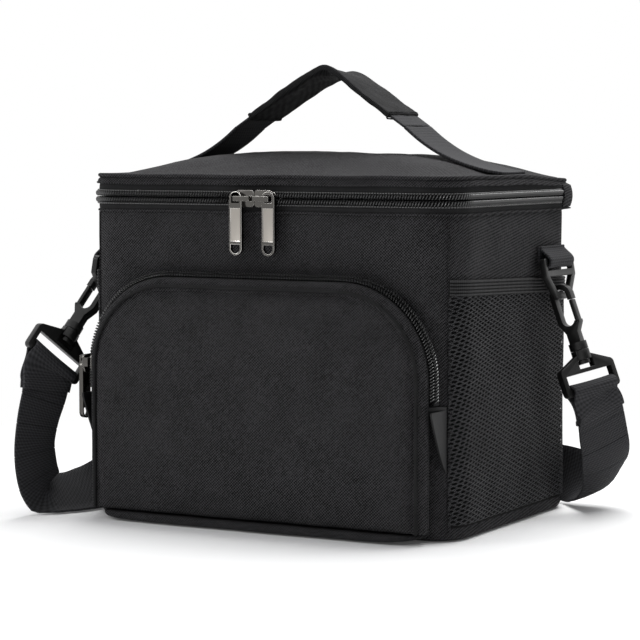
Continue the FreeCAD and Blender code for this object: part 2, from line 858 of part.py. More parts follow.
# Rubberised tabs over the zip's ends, from the panel's edge back to the corner seam
def tab(label, side):
    body = new_body(label)
    sketch = new_sketch(body, "XZ_Plane")
    length = size("tab_length")
    height = size("tab_height")
    tip = (height - size("tab_tip_height")) / 2
    outline(sketch, [
        (ZERO, ZERO),
        (length * side, tip),
        (length * side, height - tip),
        (ZERO, height),
    ])
    pad(sketch, size("tab_thickness"))
    start = pocket_half - panel_inset + fabric
    corner_cut = corner * (1 - DIAGONAL_SHARE)
    run = half_width - corner_cut - start
    angle = math.degrees(math.atan2((panel_depth + corner_cut).value, run.value))
    bottom = zip_end - height - size("tab_top_gap")
    place(body, (start * side, -panel_line, bottom), Rotation(UP, angle * side))


tab("left_pocket_tab", -1)
tab("right_pocket_tab", 1)

# Pocket slider rides at the start of the left corner; its pull hangs down
pocket_slider_length = size("pocket_slider_length")
slide_face = -(pocket_half + half_fabric)
slide_leg = zip_end + seam_clear + rear_leg
UPRIGHT = Rotation(UP, -90) * Rotation(ALONG_Y, -90)
slide_base = (slide_face, -(half_depth + zip_depth), slide_leg)
slider("pocket_slider", pocket_slider_length, slide_base, UPRIGHT)
pull("pocket_slider_pull", size("pocket_pull_length"), slide_base, Rotation(UP, -90))


# Mesh pockets with their elastic bands lie flat on the side panels
def side_pocket(side, label_mesh, label_band, turn):
    lowest = size("mesh_bottom")
    flat = half_depth - corner
    front_top = body_top - size("band_drop")
    band = size("band_height")
    sag = size("band_sag")
    face = half_width + size("mesh_gap")
    body = new_body(label_mesh)
    sketch = new_sketch(body, "YZ_Plane", face)
    clear = size("mesh_gap")
    outline(sketch, [
        (-flat * side, lowest),
        (flat * side, lowest),
        (flat * side, front_top - band - sag - clear),
        (-flat * side, front_top - band - clear),
    ])
    pad(sketch, size("mesh_thickness"))
    body.Placement = FreeCAD.Placement(Vector(0, 0, 0), turn)
    body = new_body(label_band)
    sketch = new_sketch(body, "YZ_Plane", face)
    outline(sketch, [
        (-flat * side, front_top - band),
        (flat * side, front_top - band - sag),
        (flat * side, front_top - sag),
        (-flat * side, front_top),
    ])
    pad(sketch, size("band_thickness"))
    body.Placement = FreeCAD.Placement(Vector(0, 0, 0), turn)


side_pocket(1, "right_mesh_pocket", "right_elastic_band", Rotation())
side_pocket(-1, "left_mesh_pocket", "left_elastic_band", HALF_TURN)

# Anchor loop: webbing folded round the ring's top bar, its two layers sewn to the side panel
ring_bar = size("ring_bar")
half_bar = ring_bar / 2
ring_thickness = size("ring_thickness")
loop_inner = half_bar / DIAGONAL_SHARE + size("loop_clearance")
strap_thickness = size("webbing_thickness")
loop_outer = loop_inner + strap_thickness
anchor_x = half_width + size("anchor_stand") + loop_outer
anchor_y = size("anchor_offset")
anchor_z = body_top - size("anchor_drop")
webbing_half_width = size("webbing_width") / 2


def anchor_loop(label, turn):
    body = new_body(label)
    sketch = new_sketch(body, "XZ_Plane", -(anchor_y + webbing_half_width))
    tail = anchor_z + size("anchor_tail")
    outline(sketch, [
        (anchor_x - loop_outer, anchor_z, loop_outer, LEFT_TURN),
        (anchor_x, anchor_z - loop_outer, loop_outer, LEFT_TURN),
        (anchor_x + loop_outer, anchor_z, loop_outer, LEFT_TURN),
        (anchor_x + loop_outer * DIAGONAL_SHARE, anchor_z + loop_outer * DIAGONAL_SHARE),
        (half_width + size("anchor_gap") + strap_thickness * 2, tail),
        (half_width + size("anchor_gap"), tail),
    ])
    circle(sketch, anchor_x, anchor_z, loop_inner)
    pad(sketch, size("webbing_width"))
    body.Placement = FreeCAD.Placement(Vector(0, 0, 0), turn)


anchor_loop("right_anchor_loop", Rotation())
anchor_loop("left_anchor_loop", HALF_TURN)

# Positions down the chain of ring, hook and frame
ring_tilt = DIMENSIONS["ring_tilt"]
hook_tilt = DIMENSIONS["hook_tilt"]
ring_drop = size("ring_bottom_drop")
RING_TURN = Rotation(ALONG_Y, -ring_tilt)


def turned(point, turn):
    """Sum of sizes for a local point after a rotation."""
    columns = [turn.multVec(Vector(1, 0, 0)), turn.multVec(Vector(0, 1, 0)), turn.multVec(Vector(0, 0, 1))]
    result = []
    for axis in range(3):
        total = ZERO
        for length, column in zip(point, columns):
            if length is not ZERO and abs(column[axis]) > 1e-9:
                part = length * column[axis]
                total = part if total is ZERO else total + part
        result.append(total)
    return result


def moved(base, step):
    result = []
    for start, extra in zip(base, step):
        if start is ZERO:
            result.append(extra)
        elif extra is ZERO:
            result.append(start)
        else:
            result.append(start + extra)
    return result


# Ring: top bar in the loop, crossbar, and arms that run together to the hook's bar
def ring(label, base, turn):
    body = new_body(label)
    half = size("ring_half_width")
    shoulder = size("ring_shoulder_drop")
    low_half = size("ring_bottom_half")
    low = ring_drop + half_bar
    soft = size("ring_corner")
    sketch = new_sketch(body, "YZ_Plane", -ring_thickness / 2)
    outline(sketch, [
        (-half, -shoulder),
        (-low_half, -low),
        (low_half, -low),
        (half, -shoulder),
        (half, half_bar - soft, soft, LEFT_TURN),
        (half - soft, half_bar),
        (-(half - soft), half_bar, soft, LEFT_TURN),
        (-half, half_bar - soft),
    ])
    slot = half - ring_bar
    crossbar = size("ring_crossbar_drop")
    rectangle(sketch, -slot, slot, -(crossbar - half_bar), -half_bar)
    eye_top = size("ring_eye_top_half")
    eye_low = size("ring_eye_bottom_half")
    outline(sketch, [
        (-eye_low, -(ring_drop - half_bar)),
        (eye_low, -(ring_drop - half_bar)),
        (eye_top, -(crossbar + half_bar)),
        (-eye_top, -(crossbar + half_bar)),
    ])
    pad(sketch, ring_thickness)
    place(body, base, turn)


right_anchor = (anchor_x, anchor_y, anchor_z)
left_anchor = (-anchor_x, -anchor_y, anchor_z)
RIGHT_RING = RING_TURN
LEFT_RING = HALF_TURN * RING_TURN
ring("right_ring", right_anchor, RIGHT_RING)
ring("left_ring", left_anchor, LEFT_RING)

# The right hook hangs from the ring's bottom bar, the left one has slid onto the front arm
right_pivot = moved(right_anchor, turned((ZERO, ZERO, -ring_drop), RIGHT_RING))
arm_run = (size("ring_half_width") - size("ring_bottom_half")).value
arm_fall = (ring_drop + half_bar - size("ring_shoulder_drop")).value
arm_length = math.hypot(arm_run, arm_fall)
out_share = arm_run / arm_length
up_share = arm_fall / arm_length
arm_rise = size("left_hook_rise")
arm_y = size("ring_bottom_half") + arm_rise * out_share - half_bar * up_share
arm_z = ring_drop + half_bar - arm_rise * up_share - half_bar * out_share
left_pivot = moved(left_anchor, turned((ZERO, arm_y, -arm_z), LEFT_RING))
LEAN = Rotation(ALONG_X, DIMENSIONS["left_hook_lean"])
RIGHT_HOOK = Rotation(ALONG_Y, -hook_tilt)
LEFT_HOOK = HALF_TURN * RING_TURN * LEAN * Rotation(ALONG_Y, -DIMENSIONS["left_hook_swing"])

hook_inner = size("hook_inner_radius")
hook_heel = size("hook_heel_depth")
hook_bar = size("hook_bar")
hook_outer = hook_inner + hook_bar
hook_thickness = size("hook_thickness")
eye_length = size("hook_eye_length")
nose_drop = size("hook_nose_drop")
neck_drop = size("hook_neck_drop")
neck_half = size("hook_neck_half")
shoulder_drop = size("hook_shoulder_drop")
collar_height = size("collar_height")
swivel_gap = size("swivel_gap")
boss_height = size("boss_height")
gate_thickness = size("gate_thickness")
gate_half = gate_thickness / 2
gate_pivot_x = hook_inner + hook_bar / 2
gate_pivot_z = -eye_length
gate_gap = size("gate_end_gap")
frame_top = neck_drop + collar_height + swivel_gap
slot_start = frame_top + boss_height + size("frame_window_height") + size("frame_web")
frame_drop = slot_start + size("frame_slot_height")


# Snap hook: bow, spine and nose, then the round collar and post that the frame turns on
def hook(label, base, turn):
    body = new_body(label)
    sketch = new_sketch(body, "XZ_Plane", -hook_thickness / 2)
    seat = gate_half + gate_gap
    outline(sketch, [
        (-hook_outer, ZERO),
        (-hook_outer, -eye_length),
        (-neck_half, -shoulder_drop),
        (-neck_half, -(neck_drop + collar_height / 2)),
        (neck_half, -(neck_drop + collar_height / 2)),
        (neck_half, -shoulder_drop),
        (hook_outer, gate_pivot_z - seat),
        (gate_pivot_x + seat, gate_pivot_z, seat, RIGHT_TURN),
        (gate_pivot_x, gate_pivot_z - seat, seat, RIGHT_TURN),
        (gate_pivot_x - seat, gate_pivot_z, hook_inner, RIGHT_TURN),
        (ZERO, -(eye_length + hook_heel), hook_inner, RIGHT_TURN),
        (-hook_inner, -(eye_length - hook_inner / 2)),
        (-hook_inner, ZERO, hook_inner, RIGHT_TURN),
        (ZERO, hook_inner, hook_inner, RIGHT_TURN),
        (hook_inner, ZERO),
        (hook_inner, -nose_drop),
        (hook_outer, -nose_drop),
        (hook_outer, ZERO, hook_outer, LEFT_TURN),
        (ZERO, hook_outer, hook_outer, LEFT_TURN),
    ])
    pad(sketch, hook_thickness)
    sketch = new_sketch(body, "XY_Plane", -(neck_drop + collar_height))
    circle(sketch, ZERO, ZERO, size("collar_radius"))
    pad(sketch, collar_height)
    post_end = frame_top + boss_height + swivel_gap + size("post_flange_height")
    sketch = new_sketch(body, "XY_Plane", -post_end)
    circle(sketch, ZERO, ZERO, size("post_radius"))
    pad(sketch, post_end - neck_drop)
    sketch = new_sketch(body, "XY_Plane", -post_end)
    circle(sketch, ZERO, ZERO, size("post_flange_radius"))
    pad(sketch, size("post_flange_height"))
    place(body, base, turn)


# Gate: closes the hook's mouth and turns inward on its rounded foot
def gate(label, base, turn):
    body = new_body(label)
    depth = hook_thickness - size("gate_side_gap") * 2
    sketch = new_sketch(body, "XZ_Plane", -depth / 2)
    rise = eye_length - nose_drop - gate_gap
    outline(sketch, [
        (-gate_half, ZERO, gate_half, LEFT_TURN),
        (ZERO, -gate_half, gate_half, LEFT_TURN),
        (gate_half, ZERO),
        (gate_half, rise),
        (-gate_half, rise),
    ])
    pad(sketch, depth)
    place(body, base, turn)


hook("right_hook", right_pivot, RIGHT_HOOK)
hook("left_hook", left_pivot, LEFT_HOOK)
gate_local = (gate_pivot_x, ZERO, gate_pivot_z)
gate("right_hook_gate", moved(right_pivot, turned(gate_local, RIGHT_HOOK)), RIGHT_HOOK)
gate("left_hook_gate", moved(left_pivot, turned(gate_local, LEFT_HOOK)), LEFT_HOOK)


# Strap frame: a bored boss on the hook's post, shoulders, and the bar that the webbing wraps
def strap_frame(label, base, turn):
    body = new_body(label)
    half = size("frame_half_width")
    thickness = size("frame_thickness")
    boss = size("boss_radius")
    soft = size("frame_corner")
    shoulder_radius = size("frame_shoulder_radius")
    window = size("frame_window_height")
    shoulder = frame_top + boss_height + window / 2
    low = frame_drop + size("frame_bar")
    sketch = new_sketch(body, "YZ_Plane", -thickness / 2)
    outline(sketch, [
        (-boss, -frame_top),
        (-boss, -(frame_top + boss_height / 2)),
        (-(half - soft), -shoulder, shoulder_radius, LEFT_TURN),
        (-half, -(shoulder + soft)),
        (-half, -(low - soft), soft, LEFT_TURN),
        (-(half - soft), -low),
        (half - soft, -low, soft, LEFT_TURN),
        (half, -(low - soft)),
        (half, -(shoulder + soft), shoulder_radius, LEFT_TURN),
        (half - soft, -shoulder),
        (boss, -(frame_top + boss_height / 2)),
        (boss, -frame_top),
    ])
    slot = size("frame_slot_half")
    rectangle(sketch, -slot, slot, -frame_drop, -slot_start)
    opening = size("frame_window_half")
    rectangle(sketch, -opening, opening, -(slot_start - size("frame_web")), -(frame_top + boss_height))
    pad(sketch, thickness)
    sketch = new_sketch(body, "XY_Plane", -(frame_top + boss_height))
    circle(sketch, ZERO, ZERO, boss)
    pad(sketch, boss_height)
    sketch = new_sketch(body, "XY_Plane", -frame_top)
    circle(sketch, ZERO, ZERO, size("post_radius") + swivel_gap)
    pocket(sketch, boss_height)
    place(body, base, turn)


# Webbing sewn back on itself round the frame's bar
def strap_end(label, base, turn):
    body = new_body(label)
    bar = size("frame_bar") / 2
    middle = -(frame_drop + bar)
    inner = bar / DIAGONAL_SHARE + size("loop_clearance")
    outer = inner + strap_thickness
    tail = middle - outer - size("strap_tail")
    sketch = new_sketch(body, "XZ_Plane", -webbing_half_width)
    outline(sketch, [
        (-outer, middle),
        (-strap_thickness, tail),
        (strap_thickness, tail),
        (outer, middle, outer, LEFT_TURN),
        (ZERO, middle + outer, outer, LEFT_TURN),
    ])
    circle(sketch, ZERO, middle, inner)
    pad(sketch, size("webbing_width"))
    place(body, base, turn)


RIGHT_FRAME = RIGHT_HOOK * Rotation(UP, -DIMENSIONS["frame_turn"])
LEFT_FRAME = LEFT_HOOK * Rotation(UP, -DIMENSIONS["frame_turn"])
strap_frame("right_strap_frame", right_pivot, RIGHT_FRAME)
strap_frame("left_strap_frame", left_pivot, LEFT_FRAME)
strap_end("right_strap_end", right_pivot, RIGHT_FRAME)
strap_end("left_strap_end", left_pivot, LEFT_FRAME)

# Adjuster: a frame whose end bars lie outside the strap and whose cranked middle bar lies inside
rear_offset = size("strap_rear_offset")
rear_height = size("strap_rear_height")
adjuster_gap = size("adjuster_gap")
adjuster = new_body("strap_adjuster")
half_long = size("adjuster_length") / 2
half_high = size("adjuster_height") / 2
half_window = size("adjuster_window") / 2
depth = size("adjuster_depth")
side_depth = depth / 2 - strap_thickness / 2 - adjuster_gap
sketch = new_sketch(adjuster, "XZ_Plane", -depth / 2)
rectangle(sketch, -half_long, half_long, -half_high, half_high)
window_long = half_long - size("adjuster_end_bar")
rectangle(sketch, -window_long, window_long, -half_window, half_window)
pad(sketch, depth)
sketch = new_sketch(adjuster, "XZ_Plane", depth / 2)
rectangle(sketch, -half_long, half_long, -half_window, half_window)
pocket(sketch, depth - side_depth)
sketch = new_sketch(adjuster, "XZ_Plane", depth / 2 - side_depth)
middle_half = size("adjuster_bar") / 2
rectangle(sketch, -middle_half, middle_half, -half_high, half_high)
pad(sketch, side_depth)
place(adjuster, (ZERO, rear_offset, rear_height))

# Shoulder strap: centre points along the webbing and the direction of its width at each
STRAP_ROUTE = [
    ((172.5, 46, 50), (0.80, 0.50, 0.33)),
    ((173.5, 50, 36), (0.70, 0.55, 0.45)),
    ((170, 60, 27), (0.50, 0.45, 0.74)),
    ((160, 75, 22.5), (0.22, 0.22, 0.95)),
    ((146, 90, 21.5), (0.05, 0.05, 1.0)),
    ((128, 101, 23), (0, 0, 1)),
    ((100, 105.5, 24.5), (0, 0, 1)),
    ((60, 106, 24.5), (0, 0, 1)),
    ((0, 106, 24.5), (0, 0, 1)),
    ((-60, 106, 24.5), (0, 0, 1)),
    ((-100, 105.5, 24.5), (0, 0, 1)),
    ((-126, 101, 23), (0, 0, 1)),
    ((-140, 88, 20.5), (0, 0, 1)),
    ((-144, 60, 19.6), (0, 0, 1)),
    ((-144, 0, 19.6), (0, 0, 1)),
    ((-144, -50, 19.6), (0, 0, 1)),
    ((-146, -80, 19.8), (-0.05, 0.0, 1.0)),
    ((-153, -98, 21), (-0.18, -0.05, 0.98)),
    ((-166, -107, 24), (-0.42, -0.15, 0.88)),
    ((-178, -107, 30), (-0.72, -0.3, 0.62)),
    ((-184, -104, 41), (-0.82, -0.42, 0.35)),
    ((-181, -102, 54), (-0.80, -0.55, 0.1)),
    ((-172, -103, 68), (-0.70, -0.68, 0.1)),
]

bar_half = size("frame_bar") / 2
wrap_radius = bar_half / DIAGONAL_SHARE + size("loop_clearance") + strap_thickness
tail_drop = frame_drop + bar_half + wrap_radius + size("strap_tail")
strap_half = strap_thickness.value / 2
end_gap = swivel_gap.value


def tail_point(pivot, turn, extra):
    base_point = Vector(pivot[0].value, pivot[1].value, pivot[2].value)
    return base_point + turn.multVec(Vector(0, 0, -(tail_drop.value + extra)))


def strap_section(point, along, width_way):
    across = width_way - along * width_way.dot(along)
    across.normalize()
    normal = along.cross(across)
    half = webbing_half_width.value
    corners = []
    for wide, thick in ((-half, -strap_half), (half, -strap_half), (half, strap_half), (-half, strap_half)):
        corners.append(point + across * wide + normal * thick)
    return Part.makePolygon(corners + corners[:1])


right_way = RIGHT_FRAME.multVec(Vector(0, 1, 0))
left_way = LEFT_FRAME.multVec(Vector(0, 1, 0))
route = [(tail_point(right_pivot, RIGHT_FRAME, end_gap), right_way)]
route += [(Vector(*point), Vector(*way)) for point, way in STRAP_ROUTE]
last_way = left_way
if last_way.dot(route[-1][1]) < 0:
    last_way = left_way * -1
route.append((tail_point(left_pivot, LEFT_FRAME, end_gap), last_way))
sections = []
strap_length = 0.0
for step, (point, way) in enumerate(route):
    before = route[max(step - 1, 0)][0]
    after = route[min(step + 1, len(route) - 1)][0]
    along = after - before
    if step == 0:
        along = RIGHT_FRAME.multVec(Vector(0, 0, -1))
    if step == len(route) - 1:
        along = LEFT_FRAME.multVec(Vector(0, 0, 1))
    along.normalize()
    sections.append(strap_section(point, along, Vector(way)))
    strap_length += (point - before).Length
new_shape("shoulder_strap", Part.makeLoft(sections, True, True))
print("strap length", round(strap_length))

doc.recompute()
faults = []
for item in doc.Objects:
    if "Invalid" in item.State or "Error" in item.State:
        faults.append(item.Label)
for piece in pieces:
    if piece.Shape.isNull() or not piece.Shape.isValid() or len(piece.Shape.Solids) != 1:
        faults.append(f"{piece.Label} {piece.Shape.isValid()} {len(piece.Shape.Solids)}")
if faults:
    raise RuntimeError("not sound: " + ", ".join(faults))

os.makedirs("parts", exist_ok=True)
for piece in pieces:
    piece.Shape.exportStep("parts/" + piece.Label + ".step")
print(len(pieces), "pieces")
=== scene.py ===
import bmesh
import bpy
import json
import math
from mathutils import Matrix, Vector


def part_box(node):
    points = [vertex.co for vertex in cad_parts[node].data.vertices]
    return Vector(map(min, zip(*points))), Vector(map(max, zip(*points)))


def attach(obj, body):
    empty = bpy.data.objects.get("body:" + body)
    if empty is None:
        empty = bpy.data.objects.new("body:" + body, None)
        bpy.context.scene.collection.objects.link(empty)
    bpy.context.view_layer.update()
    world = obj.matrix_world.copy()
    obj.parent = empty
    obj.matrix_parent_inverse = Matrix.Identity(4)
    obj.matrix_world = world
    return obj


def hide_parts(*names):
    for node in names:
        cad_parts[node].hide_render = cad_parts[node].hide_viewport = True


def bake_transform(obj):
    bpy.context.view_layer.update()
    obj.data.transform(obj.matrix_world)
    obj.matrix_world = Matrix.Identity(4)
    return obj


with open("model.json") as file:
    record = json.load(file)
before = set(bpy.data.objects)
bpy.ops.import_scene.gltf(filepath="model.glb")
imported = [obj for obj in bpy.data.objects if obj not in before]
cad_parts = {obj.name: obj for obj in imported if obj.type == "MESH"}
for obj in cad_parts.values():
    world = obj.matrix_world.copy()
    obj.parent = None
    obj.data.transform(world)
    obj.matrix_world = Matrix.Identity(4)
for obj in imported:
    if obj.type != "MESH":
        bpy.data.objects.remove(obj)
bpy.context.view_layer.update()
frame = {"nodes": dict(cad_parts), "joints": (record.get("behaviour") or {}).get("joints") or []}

# Camera: a little above the lid, to the right of the bag's front, with a long lens
camera_data = bpy.data.cameras.new("camera")
camera_data.sensor_width = 36
camera_data.lens = 134.74
camera_data.clip_end = 60
camera = bpy.data.objects.new("camera", camera_data)
bpy.context.scene.collection.objects.link(camera)
camera.location = (0.74655, -1.39176, 0.24411)
camera.rotation_euler = (math.radians(90 - 4.294), 0, math.radians(28.506))
bpy.context.scene.camera = camera
bpy.context.scene.view_settings.view_transform = "Standard"


# Bag cover: four padded walls and the base, cut from black oxford cloth and sewn into
# a box. The walls meet in upright seams half way round the corners.
def lay_down():
    if bpy.context.mode != "OBJECT":
        bpy.ops.object.mode_set(mode="OBJECT")
    bpy.ops.object.select_all(action="DESELECT")


def take(piece):
    lay_down()
    piece.select_set(True)
    bpy.context.view_layer.objects.active = piece


def named(name):
    """Names the primitive just added and puts its place into its mesh."""
    piece = bpy.context.object
    piece.name = name
    piece.data.name = name
    bpy.ops.object.transform_apply(location=True, rotation=True, scale=True)
    return piece


def block(name, low, high):
    lay_down()
    middle = [(a + b) / 2 for a, b in zip(low, high)]
    size = [b - a for a, b in zip(low, high)]
    bpy.ops.mesh.primitive_cube_add(size=1, location=middle, scale=size)
    return named(name)


def cut_open(piece, kind):
    take(piece)
    bpy.ops.object.mode_set(mode="EDIT")
    bpy.ops.mesh.select_mode(type=kind)
    bpy.ops.mesh.select_all(action="DESELECT")


def pick(test):
    """Selects the parts of the mesh in hand whose middle, and face normal, pass the test."""
    mesh = bmesh.from_edit_mesh(bpy.context.edit_object.data)
    mesh.normal_update()
    mode = bpy.context.tool_settings.mesh_select_mode
    for part in list(mesh.faces) + list(mesh.edges) + list(mesh.verts):
        part.select = False
    if mode[2]:
        for face in mesh.faces:
            if test(face.calc_center_median(), face.normal):
                face.select_set(True)
    elif mode[1]:
        for edge in mesh.edges:
            ends = [point.co for point in edge.verts]
            if test((ends[0] + ends[1]) / 2, (ends[1] - ends[0]).normalized()):
                edge.select_set(True)
    else:
        for point in mesh.verts:
            if test(point.co, point.normal):
                point.select_set(True)
    mesh.select_flush_mode()
    bmesh.update_edit_mesh(bpy.context.edit_object.data)


def slice_up(axis, places):
    """Cuts the mesh in hand across one axis at the given places."""
    for place in places:
        bpy.ops.mesh.select_all(action="SELECT")
        point = [0, 0, 0]
        point[axis] = place
        bpy.ops.mesh.bisect(plane_co=point, plane_no=[float(axis == i) for i in range(3)])


def steps(start, end, count):
    return [start + (end - start) * i / count for i in range(count + 1)]


def apply_all(piece):
    take(piece)
    for modifier in list(piece.modifiers):
        bpy.ops.object.modifier_apply(modifier=modifier.name)


CLOTH = 0.0012


def skin(piece, thickness=CLOTH, offset=-1):
    """Gives an open sheet its thickness, inward unless told otherwise."""
    modifier = piece.modifiers.new("skin", "SOLIDIFY")
    modifier.thickness = thickness
    modifier.offset = offset


def round_off(piece):
    modifier = piece.modifiers.new("round_off", "SUBSURF")
    modifier.levels = modifier.render_levels = 1


def upright_box(name, low, high, corner):
    """A block with its four upright edges rounded, left open for cutting."""
    piece = block(name, low, high)
    cut_open(piece, "EDGE")
    pick(lambda middle, way: abs(way.z) > 0.9)
    bpy.ops.mesh.bevel(offset=corner, segments=8, affect="EDGES")
    return piece


def drop_faces(test):
    bpy.ops.mesh.select_mode(type="FACE")
    pick(test)
    bpy.ops.mesh.delete(type="FACE")


def tub(name, low, high, corner, *cuts):
    """An upright box with a rounded foot and no top, cut across each axis at even steps."""
    piece = upright_box(name, low, high, corner)
    pick(lambda middle, way: middle.z < low[2] + 0.0001)
    bpy.ops.mesh.bevel(offset=0.004, segments=3, affect="EDGES")
    drop_faces(lambda middle, way: way.z > 0.9)
    for axis, places in cuts:
        slice_up(axis, places)
    lay_down()
    return piece


def soften(piece, angle=35):
    take(piece)
    bpy.ops.object.shade_smooth_by_angle(angle=math.radians(angle))


def wrinkle(piece, size, strength, group=""):
    """Shallow waves of slack cloth."""
    waves = bpy.data.textures.new(piece.name + "_waves", "CLOUDS")
    waves.noise_scale = size
    waves.noise_depth = 2
    modifier = piece.modifiers.new("waves", "DISPLACE")
    modifier.texture = waves
    modifier.texture_coords = "LOCAL"
    modifier.strength = strength
    modifier.mid_level = 0.5
    modifier.vertex_group = group
    apply_all(piece)


def finish(piece, material, body, slot_name, *nodes):
    piece.data.materials.clear()
    piece.data.materials.append(material)
    if body:
        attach(piece, body)
    if nodes:
        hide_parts(*nodes)


def new_material(name, color, roughness, specular):
    material = bpy.data.materials.new(name)
    material.use_nodes = True
    shader = material.node_tree.nodes["Principled BSDF"]
    shader.inputs["Base Color"].default_value = (*color, 1)
    shader.inputs["Roughness"].default_value = roughness
    shader.inputs["Specular IOR Level"].default_value = specular
    return material, material.node_tree, shader


def group_of(name, inputs, outputs):
    """An empty node group with the named number, colour or vector sockets."""
    group = bpy.data.node_groups.new(name, "ShaderNodeTree")
    for socket, kind, value in inputs:
        made = group.interface.new_socket(socket, in_out="INPUT", socket_type="NodeSocket" + kind)
        if value is not None:
            made.default_value = value
    for socket, kind in outputs:
        group.interface.new_socket(socket, in_out="OUTPUT", socket_type="NodeSocket" + kind)
    start = group.nodes.new("NodeGroupInput")
    end = group.nodes.new("NodeGroupOutput")
    return group, start, end


def wire(tree, source, out, target, into):
    tree.links.new(source.outputs[out], target.inputs[into])


def math_node(tree, kind, first, second=None):
    """A math node fed by a socket or a number on each side."""
    node = tree.nodes.new("ShaderNodeMath")
    node.operation = kind
    for place, value in enumerate((first, second)):
        if value is None:
            continue
        if isinstance(value, (int, float)):
            node.inputs[place].default_value = value
        else:
            tree.links.new(value, node.inputs[place])
    return node.outputs[0]


def dot_node(tree, vector, direction):
    node = tree.nodes.new("ShaderNodeVectorMath")
    node.operation = "DOT_PRODUCT"
    tree.links.new(vector, node.inputs[0])
    node.inputs[1].default_value = direction
    return node.outputs["Value"]


def two_tones(tree, shader, value, first, last, places=(0, 1)):
    """Colours the shader from one tone to another as the value rises."""
    ramp = tree.nodes.new("ShaderNodeValToRGB")
    for element, place, tone in zip(ramp.color_ramp.elements, places, (first, last)):
        element.position = place
        element.color = (*tone, 1)
    tree.links.new(value, ramp.inputs["Fac"])
    wire(tree, ramp, "Color", shader, "Base Color")


def emboss(tree, shader, value, depth, strength=1):
    bump = tree.nodes.new("ShaderNodeBump")
    bump.inputs["Distance"].default_value = depth
    bump.inputs["Strength"].default_value = strength
    tree.links.new(value, bump.inputs["Height"])
    wire(tree, bump, "Normal", shader, "Normal")


# Weave: yarns crossing over and under each other, with fuzz and a soft mottle. Every
# cloth of the bag is made with it.
WHOLE_TURN = 6.2832
weave, weave_in, weave_out = group_of(
    "cloth_weave",
    [("Vector", "Vector", None), ("Threads per m", "Float", 600.0),
     ("Relief", "Float", 0.4), ("Fuzz", "Float", 0.5)],
    [("Height", "Float"), ("Tone", "Float")],
)
run = dot_node(weave, weave_in.outputs["Vector"], (1, 0.62, 0.05))
rise = dot_node(weave, weave_in.outputs["Vector"], (0.05, 0.4, 1))
turns = math_node(weave, "MULTIPLY", weave_in.outputs["Threads per m"], WHOLE_TURN)
over = math_node(weave, "SINE", math_node(weave, "MULTIPLY", run, turns))
climb = math_node(weave, "MULTIPLY", math_node(weave, "MULTIPLY", rise, turns), 1.1)
under = math_node(weave, "SINE", climb)
crossed = math_node(weave, "MULTIPLY", over, under)
fuzz = weave.nodes.new("ShaderNodeTexNoise")
fuzz.inputs["Scale"].default_value = 640
fuzz.inputs["Detail"].default_value = 2
wire(weave, weave_in, "Vector", fuzz, "Vector")
mottle = weave.nodes.new("ShaderNodeTexNoise")
mottle.inputs["Scale"].default_value = 45
mottle.inputs["Detail"].default_value = 5
wire(weave, weave_in, "Vector", mottle, "Vector")
loose = math_node(weave, "SUBTRACT", fuzz.outputs[0], 0.5)
hairy = math_node(weave, "MULTIPLY", loose, weave_in.outputs["Fuzz"])
yarns = math_node(weave, "MULTIPLY", crossed, weave_in.outputs["Relief"])
height = math_node(weave, "ADD", yarns, hairy)
weave.links.new(height, weave_out.inputs["Height"])
patchy = math_node(weave, "MULTIPLY", math_node(weave, "SUBTRACT", mottle.outputs[0], 0.5), 0.5)
tone = math_node(weave, "ADD", math_node(weave, "ADD", height, 0.5), patchy)
weave.links.new(tone, weave_out.inputs["Tone"])


def cloth_material(name, dark, light, threads, relief, fuzz_amount, bump, roughness=0.85):
    """Woven cloth: two tones of the same black, with the yarns as a bump."""
    material, tree, shader = new_material(name, dark, roughness, 0.12)
    coordinates = tree.nodes.new("ShaderNodeTexCoord")
    cloth = tree.nodes.new("ShaderNodeGroup")
    cloth.node_tree = weave
    cloth.inputs["Threads per m"].default_value = threads
    cloth.inputs["Relief"].default_value = relief
    cloth.inputs["Fuzz"].default_value = fuzz_amount
    wire(tree, coordinates, "Object", cloth, "Vector")
    two_tones(tree, shader, cloth.outputs["Tone"], dark, light, (0.1, 0.9))
    emboss(tree, shader, cloth.outputs["Height"], bump, 0.8)
    return material


black_cloth = cloth_material(
    "black_oxford_cloth", (0.001, 0.001, 0.001), (0.052, 0.051, 0.054), 500, 0.85, 1.5, 0.0003)

HALF_X, HALF_Y, CORNER, BODY_TOP = 0.1325, 0.093, 0.024, 0.199
bag_cover = tub(
    "bag_cover", (-HALF_X, -HALF_Y, 0), (HALF_X, HALF_Y, BODY_TOP), CORNER,
    (2, steps(0.012, 0.192, 18)), (0, steps(-0.102, 0.102, 20)), (1, steps(-0.063, 0.063, 12)))
RIDGE_Z, RIDGE_OUT, RIDGE_END = 0.183, 0.0018, 0.118
slack = bag_cover.vertex_groups.new(name="slack")
for point in bag_cover.data.vertices:
    x, y, z = point.co
    edge = min(z / 0.02, (BODY_TOP - z) / 0.015, 1)
    if y < -0.092 and abs(x) < RIDGE_END:
        ridge = RIDGE_OUT * math.exp(-((z - RIDGE_Z) / 0.009) ** 2) * (1 + 0.4 * math.sin(x * 60))
        point.co.y -= ridge * min((RIDGE_END - abs(x)) / 0.02, 1)
    seam = abs(abs(x) - 0.1255) + abs(abs(y) - 0.086)
    slack.add([point.index], max(0, min(edge, seam / 0.03, 1)), "REPLACE")
wrinkle(bag_cover, 0.06, 0.0038, "slack")
wrinkle(bag_cover, 0.022, 0.0010, "slack")
skin(bag_cover)
round_off(bag_cover)
apply_all(bag_cover)
soften(bag_cover, 50)
finish(bag_cover, black_cloth, "bag", "black_fabric",
       "front_panel", "back_panel", "left_side_panel", "right_side_panel", "base_panel")
# Painted shade: the side walls behind the nets get a darker copy of the cloth, standing in for the
# shadow the net pockets cast on the wall.
net_wall_painted_shade = cloth_material(
    "painted_shade_behind_net", (0.001, 0.001, 0.001), (0.014, 0.014, 0.014), 600, 0.4, 0.4, 0.0003)
bag_cover.data.materials.append(net_wall_painted_shade)
